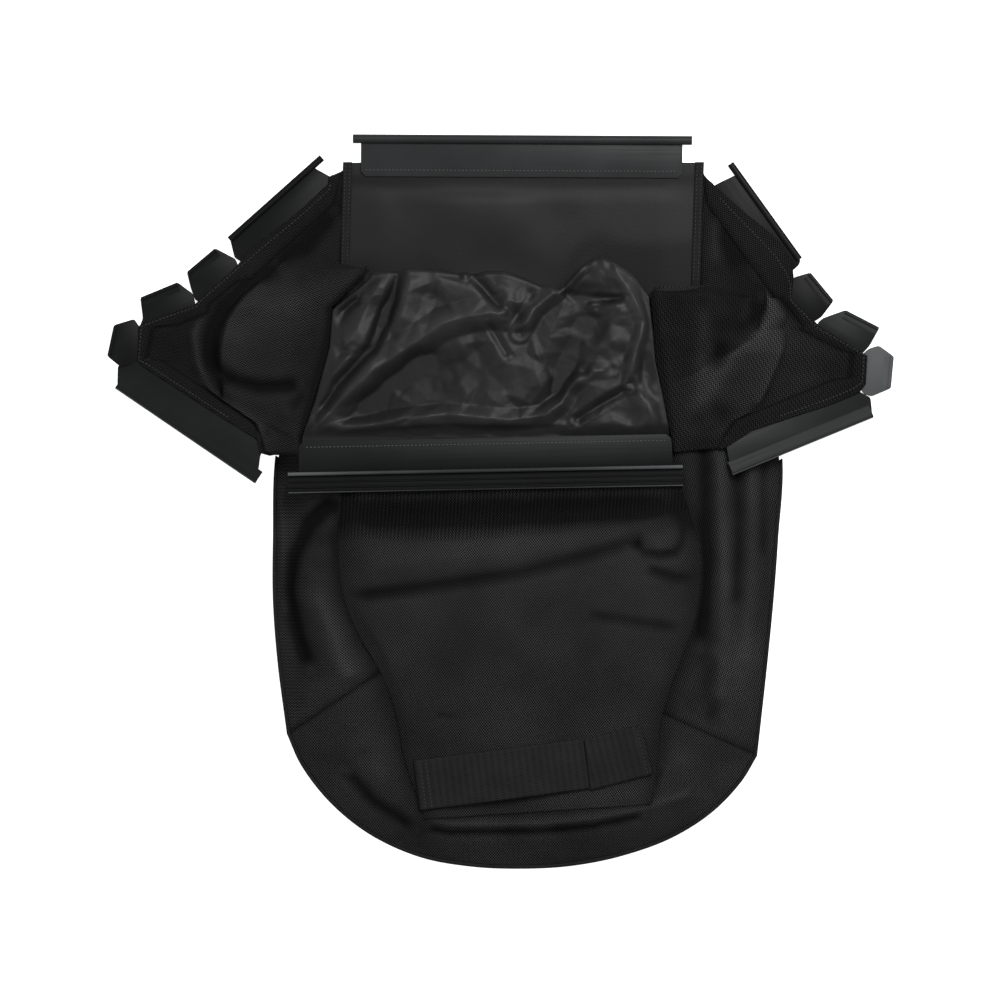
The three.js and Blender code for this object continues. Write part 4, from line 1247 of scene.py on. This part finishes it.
def addPlate(bm, outline):
    face = bm.faces.new([bm.verts.new((x, y, plateUnder)) for x, y in outline])
    settings = {"segments": 3, "profile": 0.5, "affect": "VERTICES", "material": -1, "clamp_overlap": True}
    corners = [v for v in face.verts if v.co.y > clipSizes["clothSide"]]
    bmesh.ops.bevel(bm, geom=corners, offset=clipSizes["cornerRound"], **settings)
    face = next(f for f in bm.faces if atHeight(f.verts, plateUnder) and len(f.verts) > 5)
    raised = bmesh.ops.extrude_face_region(bm, geom=[face])["geom"]
    top = [g for g in raised if isinstance(g, bmesh.types.BMVert)]
    bmesh.ops.translate(bm, vec=(0, 0, clipSizes["plateThickness"]), verts=top)
    rim = [e for e in bm.edges if atHeight(e.verts, plateTop) and len(e.link_faces) == 2]
    settings = {"segments": 2, "profile": 0.5, "affect": "EDGES", "material": -1}
    bmesh.ops.bevel(bm, geom=rim, offset=clipSizes["edgeRound"], **settings)


# A clip point's painted light and shade: highlights on the bottom clip's crown and lip, stronger at the ends, shade
# in its channel, a highlight on a lower clip's roll
def clipPaintedLightAt(name, spot):
    if name == "bottom_clip" and spot.y > -22:
        if spot.z > 7 or (spot.y > -1.5 and spot.z > 5.9):
            return mix(*clipPaintedLight["crownHighlight"], (spot.x / clips[name]["length"] * 2) ** 2)
        return clipPaintedLight["channel"]
    if "lower" in name and spot.y > -1.4 and spot.z > 1.6:
        return clipPaintedLight["rollHighlight"]
    return clipPaintedLight.get(name, clipPaintedLight["usual"])


def clipMesh(name):
    part = clips[name]
    bm = bmesh.new()
    outline = clipShapes[name]
    addPlate(bm, outline)
    (left, outer), right = outline[0], outline[1][0]
    if "corner" in name:
        addSweep(bm, lipSection(outer), left + 0.6, right - 0.6)
    elif "lower" in name:
        addSweep(bm, rollSection(), left, right)
    else:
        section = channelSection() if name == "bottom_clip" else beadSection(part["hook"])
        addSweep(bm, section, -part["length"] / 2, part["length"] / 2)
    bmesh.ops.recalc_face_normals(bm, faces=bm.faces)
    weave = bm.loops.layers.uv.new("weave")
    for face in bm.faces:
        for loop in face.loops:
            loop[weave].uv = loop.vert.co.xy * mm
    tone = bm.verts.layers.float.new("paintedLightShade")
    for vert in bm.verts:
        vert[tone] = clipPaintedLightAt(name, vert.co)
    for edge in bm.edges:
        edge.smooth = edge.calc_face_angle(0) < math.radians(clipSizes["smoothAngle"])
    bmesh.ops.transform(bm, matrix=toFrame @ part["frame"], verts=bm.verts)
    return bm


def camel(name):
    first, *rest = name.split("_")
    return first + "".join(word.capitalize() for word in rest)


def buildClips():
    for name in clips:
        piece = addPiece(camel(name) + "Drawn", clipMesh(name), materials["plastic"])
        shadeSmooth(piece)
        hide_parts(name)
    print("clips made")


# Stitches: small stretched beads along lines
stitching = {
    "pitch": 3.85,
    "size": (1.4, 0.65, 0.65),
    "quietTone": -0.7,
    "clips": {"top_clip": (-156, 154, -35.5), "bottom_clip": (-178, 178, -45.5)},      # from x to x at y
    "bindings": [(bindingLeft, 1, 238), (bindingRight, -1, 222)],
    "bindingRows": (1.8, 6.4),
    "bindingHeight": 4.0,
    "wing": (0.07, 0.85, 90, 0.03),      # from, to, steps and place on the lap
    "straps": {"handle": (0.035, 0.07), "end": (0.93,)},
}


def addStitches(bm, line):
    spare = 0.0
    for a, b in zip(line, line[1:]):
        a, b = Vector(a), Vector(b)
        length = (b - a).length
        aim = (b - a).to_track_quat("X", "Z").to_matrix().to_4x4()
        spot = spare
        while spot < length:
            place = Matrix.Translation(a.lerp(b, spot / length)) @ aim
            place = place @ Matrix.Diagonal((*stitching["size"], 1))
            bmesh.ops.create_icosphere(bm, subdivisions=1, radius=1, matrix=place)
            spot += stitching["pitch"]
        spare = spot - length


def surfaceLine(surface, points, lift=0.35):
    x, y, z = surface(*np.array(points, dtype=float).T)[:3]
    return list(zip(x, y, z + lift))


def buildStitches():
    bm = bmesh.new()
    for name, (left, right, y) in stitching["clips"].items():
        addStitches(bm, [clips[name]["frame"] @ Vector((x, y, plateTop + 0.25)) for x in (left, right)])
    onPlates = len(bm.verts)
    for line, side, low in stitching["bindings"]:
        for shift in stitching["bindingRows"]:
            spots = [(onBinding(line, y) + side * shift, y, stitching["bindingHeight"]) for y in (low, 336)]
            addStitches(bm, spots)
    start, stop, steps, lap = stitching["wing"]
    for side in (-1, 1):
        spots = [(u, lap) for u in np.linspace(start, stop, steps)]
        addStitches(bm, surfaceLine(wingSurface(side), spots, 0.1))
    for key, ends in stitching["straps"].items():
        for v in ends:
            addStitches(bm, surfaceLine(strapSurface(strap[key]), [(0.06, v), (0.94, v)]))
    bmesh.ops.transform(bm, matrix=toFrame, verts=bm.verts)
    bm.loops.layers.uv.new("weave")
    tone = bm.verts.layers.float.new("paintedLightShade")
    bm.verts.ensure_lookup_table()
    for vert in bm.verts[onPlates:]:
        vert[tone] = stitching["quietTone"]
    piece = addPiece("stitches", bm, materials["thread"])
    shadeSmooth(piece)
    print("stitches made")


# Studio: pale floor, soft lamps and the camera over the bag
studio = {
    "camera": (bagZero[0] * mm, 0.0005, 4.8),
    "lens": 172.5,
    "sky": 0.22,
    "floorGlow": 0.95,
    "floorHalf": 6,
    "floorLevel": -0.0005,
    "floorGrey": 0.85,
    "floorLook": {"roughness": 0.9, "specular": 0.1},
    "lamps": {
        "keyLamp": {"spot": (0.7, 1.1, 2.1), "size": 1.2, "power": 44},
        "fillLamp": {"spot": (-1.8, -0.5, 2.2), "size": 1.8, "power": 14},
    },
}


def toScene(name, data):
    added = bpy.data.objects.new(name, data)
    bpy.context.scene.collection.objects.link(added)
    return added


def whiteForCamera(tree, shader, strength, output):
    rays = tree.nodes.new("ShaderNodeLightPath")
    glow = addNode(tree, "ShaderNodeEmission", {"Color": (1, 1, 1, 1), "Strength": strength})
    both = addNode(tree, "ShaderNodeAddShader", {0: shader, 1: glow.outputs[0]})
    inputs = {0: rays.outputs["Is Camera Ray"], 1: shader, 2: both.outputs[0]}
    seen = addNode(tree, "ShaderNodeMixShader", inputs)
    tree.links.new(seen.outputs[0], output)


def buildStudio():
    bm = bmesh.new()
    bmesh.ops.create_grid(bm, x_segments=1, y_segments=1, size=studio["floorHalf"])
    mesh = bpy.data.meshes.new("floor")
    bm.to_mesh(mesh)
    bm.free()
    floor = toScene("floor", mesh)
    floor.location.z = studio["floorLevel"]
    material, tree, shader = startMaterial("paleFloor", studio["floorLook"])
    shader.inputs["Base Color"].default_value = grey(studio["floorGrey"])
    surface = tree.nodes["Material Output"].inputs["Surface"]
    whiteForCamera(tree, shader.outputs[0], studio["floorGlow"], surface)
    mesh.materials.append(material)

    for name, look in studio["lamps"].items():
        lamp = bpy.data.lights.new(name, "AREA")
        lamp.size = look["size"]
        lamp.energy = look["power"]
        lit = toScene(name, lamp)
        lit.location = look["spot"]
        lit.rotation_euler = (-Vector(look["spot"])).to_track_quat("-Z", "Y").to_euler()

    sky = bpy.data.worlds.new("studioSky")
    sky.use_nodes = True
    tree = sky.node_tree
    backdrop = tree.nodes["Background"]
    backdrop.inputs["Color"].default_value = (1, 1, 1, 1)
    backdrop.inputs["Strength"].default_value = studio["sky"]
    whiteForCamera(tree, backdrop.outputs[0], 1.0, tree.nodes["World Output"].inputs["Surface"])
    bpy.context.scene.world = sky

    lens = bpy.data.cameras.new("camera")
    lens.lens = studio["lens"]
    camera = toScene("camera", lens)
    camera.location = studio["camera"]
    bpy.context.scene.camera = camera
    bpy.context.scene.view_settings.view_transform = "Standard"
    print("studio made")


buildStudio()
buildBackPanel()
buildDeflector()
buildFrontPanel()
buildApron()
for side in (-1, 1):
    buildSideWall(side)
buildEndBand()
buildHem()
buildBinding("leftBindingTape", bindingLeft, 1, 232, 339)
buildBinding("rightBindingTape", bindingRight, -1, 214, 339)
buildStrap()
buildClips()
buildStitches()
